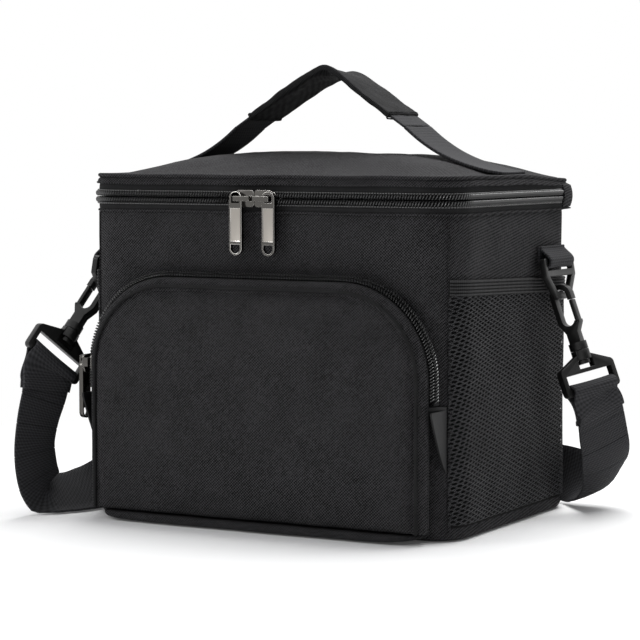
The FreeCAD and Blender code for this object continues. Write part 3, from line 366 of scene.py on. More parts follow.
for face in bag_cover.data.polygons:
    if abs(face.center.x) > 0.1262 and 0.010 < face.center.z < 0.149:
        face.material_index = 1


# Corner seams and edge binding: thin rolls of the same cloth where two walls are sewn
# together, and round the foot of the box
def wall_line(s, out, z):
    """Point at the distance s along the wall from the middle of the front, to the right
    or left."""
    side = -1 if s < 0 else 1
    s = abs(s)
    flat_x, flat_y, turn = HALF_X - CORNER, HALF_Y - CORNER, CORNER * math.pi / 2
    if s <= flat_x:
        centre = (s, -flat_y)
        angle = -90
    elif s <= flat_x + turn:
        centre = (flat_x, -flat_y)
        angle = -90 + math.degrees((s - flat_x) / CORNER)
    elif s <= flat_x + turn + 2 * flat_y:
        centre = (flat_x, -flat_y + s - flat_x - turn)
        angle = 0
    elif s <= flat_x + 2 * turn + 2 * flat_y:
        centre = (flat_x, flat_y)
        angle = math.degrees((s - flat_x - turn - 2 * flat_y) / CORNER)
    else:
        centre = (flat_x - (s - flat_x - 2 * turn - 2 * flat_y), flat_y)
        angle = 90
    if z > BODY_TOP and s > 0.2:
        out += (0.0048 if z < 0.2150 else 0.0018) * math.exp(-((s - 0.300) / 0.030) ** 2)
    reach = CORNER + out
    x = centre[0] + reach * math.cos(math.radians(angle))
    y = centre[1] + reach * math.sin(math.radians(angle))
    return Vector((x * side, y, z))


CORNER_MIDDLE, BACK_CORNER, WALL_END = 0.01885, 0.2842, 0.4304
FRONT_SEAM = 0.1085 + CORNER_MIDDLE
BACK_SEAM = BACK_CORNER + CORNER_MIDDLE


def follow(piece, line):
    """Moves a straight piece onto a line: its x runs along, y outward and z across."""
    for point in piece.data.vertices:
        point.co = line(*point.co)
    piece.data.update()


def set_right(piece):
    take(piece)
    bpy.ops.object.mode_set(mode="EDIT")
    bpy.ops.mesh.select_all(action="SELECT")
    bpy.ops.mesh.remove_doubles(threshold=0.00002)
    bpy.ops.mesh.normals_make_consistent(inside=False)
    lay_down()


def lay_along(piece, line, angle=60):
    follow(piece, line)
    set_right(piece)
    soften(piece, angle)


def roll(name, length_places, radius, sides=8):
    """A thin round roll of cloth along x, cut into short lengths so that it can bend."""
    lay_down()
    start, end = length_places[0], length_places[-1]
    bpy.ops.mesh.primitive_cylinder_add(
        vertices=sides, radius=radius, depth=end - start,
        location=((start + end) / 2, 0, 0), rotation=(0, math.pi / 2, 0))
    piece = named(name)
    cut_open(piece, "EDGE")
    slice_up(0, length_places[1:-1])
    lay_down()
    return piece


def joined(name, parts):
    lay_down()
    for part in parts:
        part.select_set(True)
    bpy.context.view_layer.objects.active = parts[0]
    if len(parts) > 1:
        bpy.ops.object.join()
    piece = bpy.context.object
    piece.name = name
    piece.data.name = name
    return piece


seams = []
for label, place in (("a", FRONT_SEAM), ("b", -FRONT_SEAM), ("c", BACK_SEAM), ("d", -BACK_SEAM)):
    seam = roll("seam_" + label, steps(0.005, BODY_TOP - 0.001, 24), 0.0009)
    for point in seam.data.vertices:
        wave = 0.0003 * math.sin(point.co.x * 260 + place * 40)
        point.co = wall_line(place + wave, point.co.y + 0.0001, 0) + Vector((0, 0, point.co.x))
    seams.append(seam)
corner_seams = joined("corner_seams", seams)
soften(corner_seams, 60)
finish(corner_seams, black_cloth, "bag", "black_fabric")

foot_line = roll("foot_binding", steps(-WALL_END, WALL_END, 160), 0.0015)
lay_along(foot_line, lambda s, out, z: wall_line(s, out - 0.0012, z + 0.0045))
finish(foot_line, black_cloth, "bag", "black_fabric")


# Lid cover: a soft panel of the same cloth over foam, crowned toward the middle. Its edge
# seam is piped, and it sags a little at the back corners.
def loosen(piece, name, share):
    """Marks how freely each point of a piece may move, from 0 to 1."""
    group = piece.vertex_groups.new(name=name)
    for point in piece.data.vertices:
        group.add([point.index], max(0, min(1, share(point.co))), "REPLACE")


LID_BOTTOM, RIM_TOP, OVERHANG = 0.2164, 0.2209, 0.0015
CROWN = [(0.0065, 0.2215), (0.0145, 0.2230), (0.0300, 0.2279),
         (0.0450, 0.2319), (0.0600, 0.2349), (0.0750, 0.2359)]
SAG = 0.0040
half_x, half_y, level = HALF_X + OVERHANG, HALF_Y + OVERHANG, RIM_TOP
lid_cover = upright_box(
    "lid_cover", (-half_x, -half_y, LID_BOTTOM), (half_x, half_y, RIM_TOP), CORNER + OVERHANG)
slice_up(0, steps(-0.102, 0.102, 16))
slice_up(1, steps(-0.063, 0.063, 10))
drop_faces(lambda middle, way: abs(way.z) > 0.9)
bpy.ops.mesh.select_mode(type="EDGE")
pick(lambda middle, way: middle.z > RIM_TOP - 0.0001)
for inset, crown_level in CROWN:
    bpy.ops.mesh.extrude_edges_move(TRANSFORM_OT_translate={"value": (0, 0, crown_level - level)})
    next_x, next_y = HALF_X - inset, HALF_Y - inset
    bpy.ops.transform.resize(
        value=(next_x / half_x, next_y / half_y, 1), center_override=(0, 0, crown_level))
    half_x, half_y, level = next_x, next_y, crown_level
bpy.ops.mesh.fill_grid(span=18)
lay_down()
set_right(lid_cover)
for point in lid_cover.data.vertices:
    x, y, z = point.co
    past = Vector((abs(x) - HALF_X + CORNER, y - HALF_Y + CORNER, 0))
    if past.x > -0.03 and past.y > -0.045:
        round_corner = CORNER * math.atan2(past.y, max(past.x, 0)) - min(past.x, 0)
        along = BACK_CORNER + (past.y if past.y < 0 else round_corner)
        near_edge = max(abs(x) / 0.134, y / 0.0945) ** 14
        puff = 0.0018 * math.exp(-((along - 0.300) / 0.030) ** 2) * near_edge
        sag = SAG * math.exp(-((along - 0.305) / 0.050) ** 2) * near_edge
        sag *= 0.6 if z < RIM_TOP - 0.002 else 1
        way = Vector((max(past.x, 0.0001), max(past.y, 0), 0)).normalized()
        point.co += Vector((math.copysign(way.x, x), way.y, 0)) * puff - Vector((0, 0, sag))
loosen(lid_cover, "slack", lambda place: (place.z - RIM_TOP) / 0.006)
round_off(lid_cover)
apply_all(lid_cover)
wrinkle(lid_cover, 0.07, 0.0035, "slack")
wrinkle(lid_cover, 0.018, 0.0008, "slack")
skin(lid_cover)
apply_all(lid_cover)
soften(lid_cover, 50)
finish(lid_cover, black_cloth, "lid", "black_fabric", "lid_top_panel")

piped = []
for label, out, level, radius, share in (
        ("upper", -0.0002, 0.2214, 0.0013, 1), ("lower", 0.0012, 0.2167, 0.0008, 0.6)):
    part = roll("lid_piping_" + label, steps(-WALL_END, WALL_END, 170), radius)
    follow(part, lambda s, y, z: wall_line(s, y + out, z + level + 0.0002 * math.sin(s * 90))
           - Vector((0, 0, SAG * share * math.exp(-((abs(s) - 0.305) / 0.050) ** 2))))
    set_right(part)
    piped.append(part)
lid_piping = joined("lid_piping", piped)
soften(lid_piping, 60)
finish(lid_piping, black_cloth, "lid", "black_fabric")
body_piping = roll("body_piping", steps(-WALL_END, WALL_END, 170), 0.0009)
lay_along(body_piping, lambda s, y, z: wall_line(
    s, y + 0.0002, z + BODY_TOP + 0.0002 * math.sin(s * 70)))
finish(body_piping, black_cloth, "bag", "black_fabric")


# Lid zipper: two woven tapes sewn to the body and to the lid, each with a row of
# black nylon teeth. It runs round the front and both sides.
def band(name, along, low, high, out, thickness, bulge, rows=5):
    """A strip of cloth with a slight outward bulge, along x and standing up in z."""
    lay_down()
    bpy.ops.mesh.primitive_grid_add(
        x_subdivisions=len(along) - 1, y_subdivisions=rows, size=1,
        location=((along[0] + along[-1]) / 2, out, (low + high) / 2),
        rotation=(math.pi / 2, 0, 0))
    bpy.context.object.scale = (along[-1] - along[0], high - low, 1)
    strip = named(name)
    for point in strip.data.vertices:
        share = (point.co.z - low) / (high - low) * 2 - 1
        point.co.y += bulge * (1 - share * share)
    for loop in strip.data.loops:
        place = strip.data.vertices[loop.vertex_index].co
        strip.data.uv_layers[0].data[loop.index].uv = (place.x, place.z)
    skin(strip, thickness, 0)
    apply_all(strip)
    return strip


TOOTH_PITCH, TOOTH_HEIGHT, TOOTH_PROUD = 0.0019, 0.0036, 0.0026


def repeat(piece, step, count, label="copies"):
    copies = piece.modifiers.new(label, "ARRAY")
    copies.use_relative_offset = False
    copies.use_constant_offset = True
    copies.constant_offset_displace = step
    copies.count = count


def row_of_teeth(name, start, end, lean=0.4):
    """Teeth along x: one rounded loop of nylon, leaning, copied at even steps."""
    lay_down()
    bpy.ops.mesh.primitive_uv_sphere_add(segments=8, ring_count=6, radius=0.5, location=(0, 0, 0))
    tooth = named(name)
    for point in tooth.data.vertices:
        x, y, z = point.co
        point.co = Vector((
            start + TOOTH_PITCH * (0.3 + x * 0.62) + lean * z * TOOTH_HEIGHT,
            (0.5 + y) * TOOTH_PROUD, (0.5 + z) * TOOTH_HEIGHT))
    repeat(tooth, (TOOTH_PITCH, 0, 0), int((end - start) / TOOTH_PITCH))
    apply_all(tooth)
    return tooth


def texture(tree, kind, scale, detail=None, space="Object", stretch=None):
    """A procedural texture laid on the object itself or along its UV map."""
    coordinates = tree.nodes.new("ShaderNodeTexCoord")
    node = tree.nodes.new("ShaderNodeTex" + kind)
    node.inputs["Scale"].default_value = scale
    if detail is not None:
        node.inputs["Detail"].default_value = detail
    if stretch is None:
        wire(tree, coordinates, space, node, "Vector")
    else:
        mapping = tree.nodes.new("ShaderNodeMapping")
        mapping.inputs["Scale"].default_value = stretch
        wire(tree, coordinates, space, mapping, "Vector")
        wire(tree, mapping, "Vector", node, "Vector")
    return node


def gloss(tree, shader, spread_by, low, high):
    """Lets the roughness wander between two values with a texture."""
    spread = tree.nodes.new("ShaderNodeMapRange")
    spread.inputs["To Min"].default_value = low
    spread.inputs["To Max"].default_value = high
    wire(tree, spread_by, "Fac", spread, "Value")
    wire(tree, spread, "Result", shader, "Roughness")


tape_cloth = cloth_material(
    "zipper_tape_cloth", (0.005, 0.005, 0.005), (0.026, 0.026, 0.027), 800, 0.3, 0.4, 0.0002)
tooth_nylon, tree, shader = new_material("black_nylon_teeth", (0.030, 0.030, 0.030), 0.2, 1.0)
gloss(tree, shader, texture(tree, "Noise", 400), 0.14, 0.32)

ZIP_Z, ZIP_REACH = 0.2077, 0.2802
along = steps(-ZIP_REACH, ZIP_REACH, 180)
for name, low, high, body in (
        ("lower_tape", 0.1991, 0.2073, "bag"), ("upper_tape", 0.2081, 0.2163, "lid")):
    tape = band(name, along, low, high, -0.0005, 0.0008, 0.0004)
    lay_along(tape, wall_line)
    finish(tape, tape_cloth, body, "black_webbing", name.replace("tape", "zipper_tape"))
for name, low, body in (
        ("lower_teeth", ZIP_Z - 0.0037, "bag"), ("upper_teeth", ZIP_Z + 0.0004, "lid")):
    shift = 0.0008 if body == "lid" else 0
    teeth = row_of_teeth(name, -ZIP_REACH + shift, ZIP_REACH - 0.001)
    lay_along(teeth, lambda s, out, z: wall_line(s, out, z + low), 40)
    finish(teeth, tooth_nylon, body, "zip_coil", name.replace("teeth", "zipper_coil"))
for name, level, body in (
        ("lower_cord", ZIP_Z - 0.0041, "bag"), ("upper_cord", ZIP_Z + 0.0041, "lid")):
    lay_down()
    bpy.ops.mesh.primitive_uv_sphere_add(
        segments=8, ring_count=5, radius=0.00062, location=(-ZIP_REACH + 0.001, 0, 0))
    bead = named(name)
    for point in bead.data.vertices:
        point.co.x += (point.co.x + ZIP_REACH - 0.001) * 0.55 + 0.4 * point.co.z
    repeat(bead, (TOOTH_PITCH, 0, 0), 294)
    apply_all(bead)
    lay_along(bead, lambda s, out, z: wall_line(s, out + 0.0009, z + level))
    finish(bead, tooth_nylon, body, "zip_coil")

hinge_strip = band(
    "hinge_strip", steps(0.2806, WALL_END, 40), 0.1992, 0.2162, -0.0006, 0.0011, 0.0022, 10)
follow(hinge_strip, wall_line)
mirror = hinge_strip.modifiers.new("other_half", "MIRROR")
mirror.use_clip = False
mirror.merge_threshold = 0.0004
apply_all(hinge_strip)
set_right(hinge_strip)
soften(hinge_strip, 60)
finish(hinge_strip, black_cloth, None, "black_fabric", "lid_hinge_strip")
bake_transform(hinge_strip)


# Zip sliders and pulls: die-cast and nickel plated, each pull with a flat brushed face
# sunk in a polished frame. Two close the lid, one closes the pocket.
def bevel_edges(piece, width, segments, angle):
    """Rounds the edges that turn by more than the angle."""
    edges = piece.modifiers.new("edges", "BEVEL")
    edges.width = width
    edges.segments = segments
    edges.limit_method = "ANGLE"
    edges.angle_limit = math.radians(angle)


def metal_copy(name, node, bevel, segments=2, reshape=None):
    """A copy of a hard part with its edges rounded as cast or moulded ones are."""
    lay_down()
    source = frame["nodes"][node]
    piece = bpy.data.objects.new(name, source.data.copy())
    piece.data.name = name
    bpy.context.scene.collection.objects.link(piece)
    take(piece)
    bpy.ops.object.mode_set(mode="EDIT")
    bpy.ops.mesh.select_all(action="SELECT")
    bpy.ops.mesh.remove_doubles(threshold=0.00001)
    bpy.ops.mesh.dissolve_limited(angle_limit=math.radians(3))
    lay_down()
    if reshape:
        for point in piece.data.vertices:
            point.co = reshape(point.co)
    bevel_edges(piece, bevel, segments, 35)
    apply_all(piece)
    soften(piece, 40)
    return piece


def metal(name, color, roughness, specular, metallic, spread, *pattern):
    """A metal whose gloss wanders between two values with a fine texture."""
    material, tree, shader = new_material(name, color, roughness, specular)
    shader.inputs["Metallic"].default_value = metallic
    gloss(tree, shader, texture(tree, "Noise", *pattern), *spread)
    return material


# The polished nickel is given a dark base colour as a painted dark reflection, and a pale copy of
# it is the painted highlight on the bevels.
nickel = metal("polished_nickel", (0.10, 0.096, 0.09), 0.16, 0.5, 1, (0.10, 0.26), 220, 4)
brushed = metal("brushed_nickel_face", (0.37, 0.345, 0.315), 0.5, 0.4, 0.85, (0.5, 0.64),
                1, 2, "Object", (2600, 2600, 60))
edge_highlight_paint = metal("worn_bright_edge", (0.72, 0.70, 0.67), 0.2, 0.5, 1, (0.12, 0.3), 300)

FRONT, LEFT = Vector((0, -1, 0)), Vector((-1, 0, 0))
for name, body, outward in (
        ("left_slider", "left_slider", FRONT), ("right_slider", "right_slider", FRONT),
        ("pocket_slider", "pocket_slider", LEFT), ("left_slider_pull", "left_pull", FRONT),
        ("right_slider_pull", "right_pull", FRONT), ("pocket_slider_pull", "pocket_pull", LEFT)):
    pull = name.endswith("pull")
    low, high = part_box(name)
    middle, foot, across = (low + high) / 2, low.z + 0.0045, Vector((-outward.y, outward.x, 0))

    def opened(point):
        """The hole and the sunk face reach nearly to the edges of the plate."""
        beside, up = (point - middle) @ across, point.z - foot
        if math.hypot(beside, up) < 0.0034:
            return point + (across * beside + Vector((0, 0, up))) * 0.27
        if 0.0031 < abs(beside) < 0.0035 and 0.007 < up < 0.026:
            return point + across * beside * 0.08 - Vector((0, 0, 0.0036 if up < 0.009 else 0))
        return point
    rounding = (0.00055, 2, opened) if pull else (0.0007, 3)
    cast = metal_copy(name + "_cast", name, *rounding)
    finish(cast, nickel, body, "nickel", name)
    cast.data.materials.append(brushed)
    cast.data.materials.append(edge_highlight_paint)
    face_out = max(low @ outward, high @ outward) - 0.0005
    # Painted highlight: faces slanting between the side and the front take the pale copy; the sunk
    # flat face of each pull takes the brushed metal, the rest the darkened nickel.
    for face in cast.data.polygons:
        toward = face.normal @ outward
        if pull and toward > 0.95 and abs(face.center @ outward - face_out) < 0.00012:
            face.material_index = 1
        elif 0.15 < toward < 0.93:
            face.material_index = 2


# Front pocket: a gusset band sewn to the front wall, a zipper over the arch, a border
# strip and a padded front panel of the same cloth, piped along the seam between them
POCKET_HALF, POCKET_TOP, POCKET_TURN, ZIP_FOOT = 0.1225, 0.159, 0.060, 0.0845


def arch_line(s, out, depth):
    """Point at the distance s along the arch from its top middle; depth runs toward the front."""
    side = -1 if s < 0 else 1
    s = abs(s)
    flat = POCKET_HALF - POCKET_TURN
    turn = POCKET_TURN * math.pi / 2
    if s <= flat:
        x, z = s, POCKET_TOP + out
    elif s <= flat + turn:
        angle = (s - flat) / POCKET_TURN
        x = flat + (POCKET_TURN + out) * math.sin(angle)
        z = POCKET_TOP - POCKET_TURN + (POCKET_TURN + out) * math.cos(angle)
    else:
        x, z = POCKET_HALF + out, POCKET_TOP - POCKET_TURN - (s - flat - turn)
    return Vector((x * side, -HALF_Y - depth, z))


ARCH_TURN_END = 0.0625 + 0.09425
ARCH_ZIP_END = ARCH_TURN_END + POCKET_TOP - POCKET_TURN - ZIP_FOOT
ARCH_END = ARCH_TURN_END + POCKET_TOP - POCKET_TURN - 0.0068
gusset = band("pocket_gusset_cloth", steps(-ARCH_ZIP_END, ARCH_ZIP_END, 140),
              0.0002, 0.0066, 0, 0.0010, 0.0003)
lay_along(gusset, arch_line)
finish(gusset, tape_cloth, "bag", "black_fabric", "pocket_gusset")
for row, body, shift, place in (
        ("inner", "bag", 0.0008, lambda s, out, z: arch_line(
            s, 0.0016 + out * 0.8 - z * 0.42, 0.0042 + z * 0.86 + out * 0.5)),
        ("outer", "pocket_front", 0, lambda s, out, z: arch_line(
            s, 0.0002 + out * 0.75 - z * 0.55, 0.0070 + z * 0.80 + out * 0.6))):
    teeth = row_of_teeth("pocket_teeth_" + row, -ARCH_ZIP_END + shift, ARCH_ZIP_END - 0.001, 0.5)
    lay_along(teeth, place, 40)
    finish(teeth, tooth_nylon, body, "zip_coil", "pocket_coil_" + row)

border = band("pocket_border", steps(-ARCH_END, ARCH_END, 200), 0, 1, 0, 0.0011, 0, 8)
for point in border.data.vertices:
    share, thick = min(max(point.co.z, 0), 1), point.co.y
    out = -0.0022 - 0.0076 * share ** 1.6 + 0.0008 * math.sin(math.pi * min(share * 1.1, 1)) + thick
    depth = 0.0102 + 0.0054 * math.sin(share * math.pi / 2) - thick * share * 0.5
    ripple = 0.0003 * math.sin(point.co.x * 130) * share
    point.co = arch_line(point.co.x, out + ripple, depth)
set_right(border)
round_off(border)
apply_all(border)
soften(border, 60)
finish(border, black_cloth, "pocket_front", "black_fabric")

pocket_cover = block("pocket_cover", (-0.1150, -0.1100, 0.0066), (0.1150, -0.1010, 0.1515))
cut_open(pocket_cover, "EDGE")
pick(lambda middle, way: abs(way.y) > 0.9 and middle.z > 0.1)
bpy.ops.mesh.bevel(offset=0.0525, segments=14, affect="EDGES")
bpy.ops.mesh.select_mode(type="FACE")
pick(lambda middle, way: way.y < -0.9)
bpy.ops.mesh.inset(thickness=0.006)
bpy.ops.transform.translate(value=(0, -0.0020, 0))
lay_down()
MOST_STUFFING = 0.0035
even = pocket_cover.modifiers.new("even", "REMESH")
even.mode = "VOXEL"
even.voxel_size = 0.004
apply_all(pocket_cover)
held = pocket_cover.vertex_groups.new(name="held")
before = []
for point in pocket_cover.data.vertices:
    before.append(point.co.copy())
    if point.co.y > -0.1075 or point.co.z < 0.013:
        held.add([point.index], 1, "REPLACE")
cloth = pocket_cover.modifiers.new("stuffing", "CLOTH").settings
cloth.quality = 6
cloth.mass = 0.3
cloth.tension_stiffness = 20
cloth.compression_stiffness = 20
cloth.bending_stiffness = 1.5
cloth.use_pressure = True
cloth.uniform_pressure_force = 4
cloth.vertex_group_mass = "held"
cloth.effector_weights.gravity = 0
for step in range(1, 21):
    bpy.context.scene.frame_set(step)
take(pocket_cover)
bpy.ops.object.modifier_apply(modifier="stuffing")
bpy.context.scene.frame_set(1)
for point, start in zip(pocket_cover.data.vertices, before):
    move = point.co - start
    if move.length > MOST_STUFFING:
        point.co = start + move * (MOST_STUFFING / move.length)
pocket_cover.vertex_groups.clear()
cut_open(pocket_cover, "FACE")
pick(lambda middle, way: way.y > 0.9 and middle.y > -0.1025)
bpy.ops.mesh.delete(type="FACE")
lay_down()
round_off(pocket_cover)
apply_all(pocket_cover)
loosen(pocket_cover, "front", lambda place: (-0.107 - place.y) / 0.003)
wrinkle(pocket_cover, 0.05, 0.0042, "front")
wrinkle(pocket_cover, 0.018, 0.0010, "front")
skin(pocket_cover)
apply_all(pocket_cover)
soften(pocket_cover, 60)
finish(pocket_cover, black_cloth, "pocket_front", "black_fabric", "pocket_front")

seam_rolls = []
for label, out, depth, radius in (
        ("outer", -0.0070, 0.0165, 0.0011), ("inner", -0.0020, 0.0104, 0.0007)):
    seam = roll("pocket_piping_" + label, steps(-ARCH_END, ARCH_END, 170), radius)
    follow(seam, lambda s, y, z: arch_line(s, y + out, z + depth))
    set_right(seam)
    seam_rolls.append(seam)
pocket_piping = joined("pocket_piping", seam_rolls)
soften(pocket_piping, 60)
finish(pocket_piping, tape_cloth, "pocket_front", "black_fabric")


# Pocket foot: a padded lip of the same cloth, where the base runs out under the pocket.
# It is bound along its edge and its ends taper up from the ground.
pocket_foot = block("pocket_foot", (-0.1150, -0.1116, 0.0006), (0.1150, -0.0920, 0.0056))
cut_open(pocket_foot, "EDGE")
pick(lambda middle, way: abs(way.z) > 0.9 and middle.y < -0.1)
bpy.ops.mesh.bevel(offset=0.018, segments=8, affect="EDGES")
slice_up(0, steps(-0.096, 0.096, 24))
pick(lambda middle, way: abs(way.z) < 0.1 and middle.y < -0.0925)
bpy.ops.mesh.bevel(offset=0.0016, segments=3, affect="EDGES")
lay_down()
for point in pocket_foot.data.vertices:
    if point.co.y < -0.1:
        bow = 0.0010 * (1 - (point.co.x / 0.1165) ** 2)
        point.co.y -= bow + 0.0003 * math.sin(point.co.x * 90)
    if point.co.z < 0.003:
        point.co.z += 0.0022 * max(0, (abs(point.co.x) - 0.075) / 0.040) ** 2
soften(pocket_foot, 50)
finish(pocket_foot, black_cloth, "bag", "black_fabric")


# Pocket pleats and tabs: the gusset folds in below the zip, and a rubber tab covers each
# end of the zip and is sewn into the corner seam
rubber, tree, shader = new_material("black_rubber_tab", (0.006, 0.006, 0.0065), 0.5, 0.3)
emboss(tree, shader, texture(tree, "Noise", 900).outputs["Fac"], 0.0001)
TAIL_LENGTH, TAIL_FRONT = 0.036, -0.1086
for side, word in ((-1, "left"), (1, "right")):
    low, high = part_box(word + "_pocket_pleat")
    inner = min(abs(low.x), abs(high.x))
    fold = band("pleat_" + word, steps(0, 1, 32), low.z, high.z, 0, 0.0011, 0, 12)
    for point in fold.data.vertices:
        run, thick, level = point.co
        swing = math.sin(run * math.pi * 2 - math.pi / 2) * 0.5 + 0.5
        across = inner + 0.0012 + 0.0048 * swing + thick
        point.co = Vector((across * side, -HALF_Y - 0.0004 - 0.0152 * run, level))
    set_right(fold)
    soften(fold, 60)
    finish(fold, black_cloth, None, "black_fabric", word + "_pocket_pleat")
    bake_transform(fold)
    low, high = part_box(word + "_pocket_tab")
    outer = max(abs(low.x), abs(high.x))
    tab = metal_copy("tab_" + word, word + "_pocket_tab", 0.0003, 2, lambda point: Vector(
        (point.x, point.y, low.z + (point.z - low.z) * 0.4)))
    tail = block("tab_tail", (outer - 0.0013, TAIL_FRONT, low.z - TAIL_LENGTH),
                 (outer - 0.0001, high.y - 0.0004, low.z + 0.002))
    cut_open(tail, "EDGE")
    slice_up(2, steps(low.z - TAIL_LENGTH, low.z, 8)[1:])
    lay_down()
    for point in tail.data.vertices:
        share = max(0, min(1, (point.co.z - low.z + TAIL_LENGTH) / TAIL_LENGTH))
        if point.co.y < -0.1:
            point.co.y = high.y - 0.0014 + (TAIL_FRONT - high.y + 0.0014) * share ** 0.8
        point.co.x *= side
    set_right(tail)
    tab = joined("tab_" + word, [tab, tail])
    finish(tab, rubber, "bag", "rubber_tab", word + "_pocket_tab")


# Side pockets: a knitted net with slanting holes under a ribbed elastic band, both sewn
# into the corner seams and drawn flat against the wall
net_thread = cloth_material(
    "black_net_thread", (0.004, 0.004, 0.004), (0.078, 0.078, 0.082), 700, 0.6, 0.8, 0.0001, 0.6)
elastic, tree, shader = new_material("ribbed_elastic", (0.02, 0.02, 0.02), 0.75, 0.2)
coordinates = tree.nodes.new("ShaderNodeTexCoord")
split = tree.nodes.new("ShaderNodeSeparateXYZ")
wire(tree, coordinates, "UV", split, "Vector")
along_rib = math_node(tree, "MULTIPLY", split.outputs["Y"], math.pi * 500)
lengthwise = math_node(tree, "ABSOLUTE", math_node(tree, "SINE", along_rib))
gathers = math_node(tree, "MULTIPLY", split.outputs["X"], WHOLE_TURN * 700)
gathered = math_node(tree, "MULTIPLY", math_node(tree, "SINE", gathers), 0.14)
lumps = math_node(tree, "SUBTRACT", texture(tree, "Noise", 420, None, "UV").outputs["Fac"], 0.5)
ridge = math_node(tree, "ADD", math_node(tree, "MULTIPLY", lengthwise, 0.8), gathered)
ridge = math_node(tree, "ADD", ridge, math_node(tree, "MULTIPLY", lumps, 0.5))
# Painted shade: the colour runs dark in the grooves between the ribs and pale on their tops, as
# shade and light would fall on them.
two_tones(tree, shader, ridge, (0.002, 0.002, 0.002), (0.044, 0.044, 0.045), (0.1, 1))
emboss(tree, shader, ridge, 0.0005)

NET_CELL, NET_ROW, NET_FOOT = 0.0042, 0.0026, 0.010
NET_FRONT_TOP, NET_BACK_TOP = 0.1505, 0.1445
NET_WIDTH = BACK_SEAM - FRONT_SEAM
ELASTIC_WIDTH = 0.010
for side, word in ((1, "right"), (-1, "left")):
    lay_down()
    bpy.ops.mesh.primitive_circle_add(
        vertices=6, radius=0.5, fill_type="NGON", location=(0, 0, 0), rotation=(math.pi / 2, 0, 0))
    cell = named(word + "_net")
    for point in cell.data.vertices:
        point.co.x *= NET_CELL * 1.333
        point.co.z *= NET_ROW * 1.155
    cut_open(cell, "FACE")
    bpy.ops.mesh.select_all(action="SELECT")
    bpy.ops.mesh.inset(thickness=0.00048)
    pick(lambda middle, way: middle.length < 0.0001)
    bpy.ops.mesh.delete(type="FACE")
    bpy.ops.mesh.select_all(action="SELECT")
    bpy.ops.mesh.duplicate_move(TRANSFORM_OT_translate={"value": (NET_CELL, 0, NET_ROW / 2)})
    lay_down()
    repeat(cell, (NET_CELL * 2, 0, 0), 32, "across")
    repeat(cell, (0, 0, NET_ROW), 58, "up")
    apply_all(cell)
    for point in cell.data.vertices:
        point.co += Vector((FRONT_SEAM - 0.066 + 0.4 * point.co.z, 0, NET_FOOT - 0.003))
    cut_open(cell, "EDGE")
    slope = Vector((NET_BACK_TOP - NET_FRONT_TOP, 0, FRONT_SEAM - BACK_SEAM)).normalized() * -1
    for place, way in (
            ((FRONT_SEAM, 0, 0), (-1, 0, 0)), ((BACK_SEAM, 0, 0), (1, 0, 0)),
            ((0, 0, NET_FOOT), (0, 0, -1)), ((FRONT_SEAM, 0, NET_FRONT_TOP), slope)):
        bpy.ops.mesh.select_all(action="SELECT")
        bpy.ops.mesh.bisect(plane_co=place, plane_no=way, clear_outer=True)
    bpy.ops.mesh.select_all(action="SELECT")
    bpy.ops.mesh.remove_doubles(threshold=0.00002)
    lay_down()
    skin(cell, 0.0006, 0)
    apply_all(cell)

    def hang(s, out, z):
        share = max(0, min(1, (s - FRONT_SEAM) / NET_WIDTH))
        rise = max(0, min(1, (z - NET_FOOT) / 0.14))
        belly = math.sin(math.pi * share) * math.sin(math.pi * rise)
        lift = 0.0009 + 0.0012 * belly + 0.0003 * math.sin(s * 130 + z * 60)
        place = wall_line(s, out + lift, z)
        place.x *= side
        return place
    follow(cell, hang)
    set_right(cell)
    finish(cell, net_thread, "bag", "black_mesh", word + "_mesh_pocket")

    strip = band(word + "_elastic", steps(FRONT_SEAM, BACK_SEAM, 60),
                 0, ELASTIC_WIDTH, 0, 0.0012, 0, 30)
    for point in strip.data.vertices:
        share = (point.co.x - FRONT_SEAM) / NET_WIDTH
        rib_shape = 0.00055 * abs(math.sin(point.co.z / ELASTIC_WIDTH * math.pi * 5))
        gather = 0.0002 * math.sin(point.co.x * 900)
        point.co.y += rib_shape * (1 if point.co.y > 0 else -1) + gather
        point.co.z += 0.1500 - 0.0060 * share
    lay_along(strip, lambda s, out, z: Vector(
        (wall_line(s, out + 0.0013, z).x * side, wall_line(s, out, z).y, z)))
    finish(strip, elastic, "bag", "black_webbing", word + "_elastic_band")


# Webbing: 38 mm polypropylene ribbon with fine ribs across it. It makes the loops that
# hold the rings, the folded strap ends, the shoulder strap and the handle.
ribbed_webbing, tree, shader = new_material("ribbed_webbing", (0.014, 0.014, 0.015), 0.8, 0.2)
coordinates = tree.nodes.new("ShaderNodeTexCoord")
split = tree.nodes.new("ShaderNodeSeparateXYZ")
wire(tree, coordinates, "UV", split, "Vector")
across_rib = math_node(tree, "SINE", math_node(
    tree, "MULTIPLY", split.outputs["Y"], WHOLE_TURN / 0.0017))
down = math_node(tree, "MULTIPLY", split.outputs["X"], WHOLE_TURN / 0.0030)
slant = math_node(tree, "MULTIPLY", split.outputs["Y"], WHOLE_TURN / 0.0034)
warp = math_node(tree, "SINE", math_node(tree, "ADD", down, slant))
fibre = texture(tree, "Noise", 900, 3, "UV").outputs["Fac"]
ribs = math_node(tree, "MULTIPLY", across_rib, 0.3)
raised = math_node(tree, "ADD", ribs, math_node(tree, "MULTIPLY", warp, 0.2))
raised = math_node(tree, "ADD", raised, math_node(tree, "MULTIPLY", fibre, 0.9))
two_tones(tree, shader, raised, (0.013, 0.013, 0.014), (0.044, 0.044, 0.048))
emboss(tree, shader, raised, 0.0003, 0.8)
WEBBING_WIDTH = 0.038


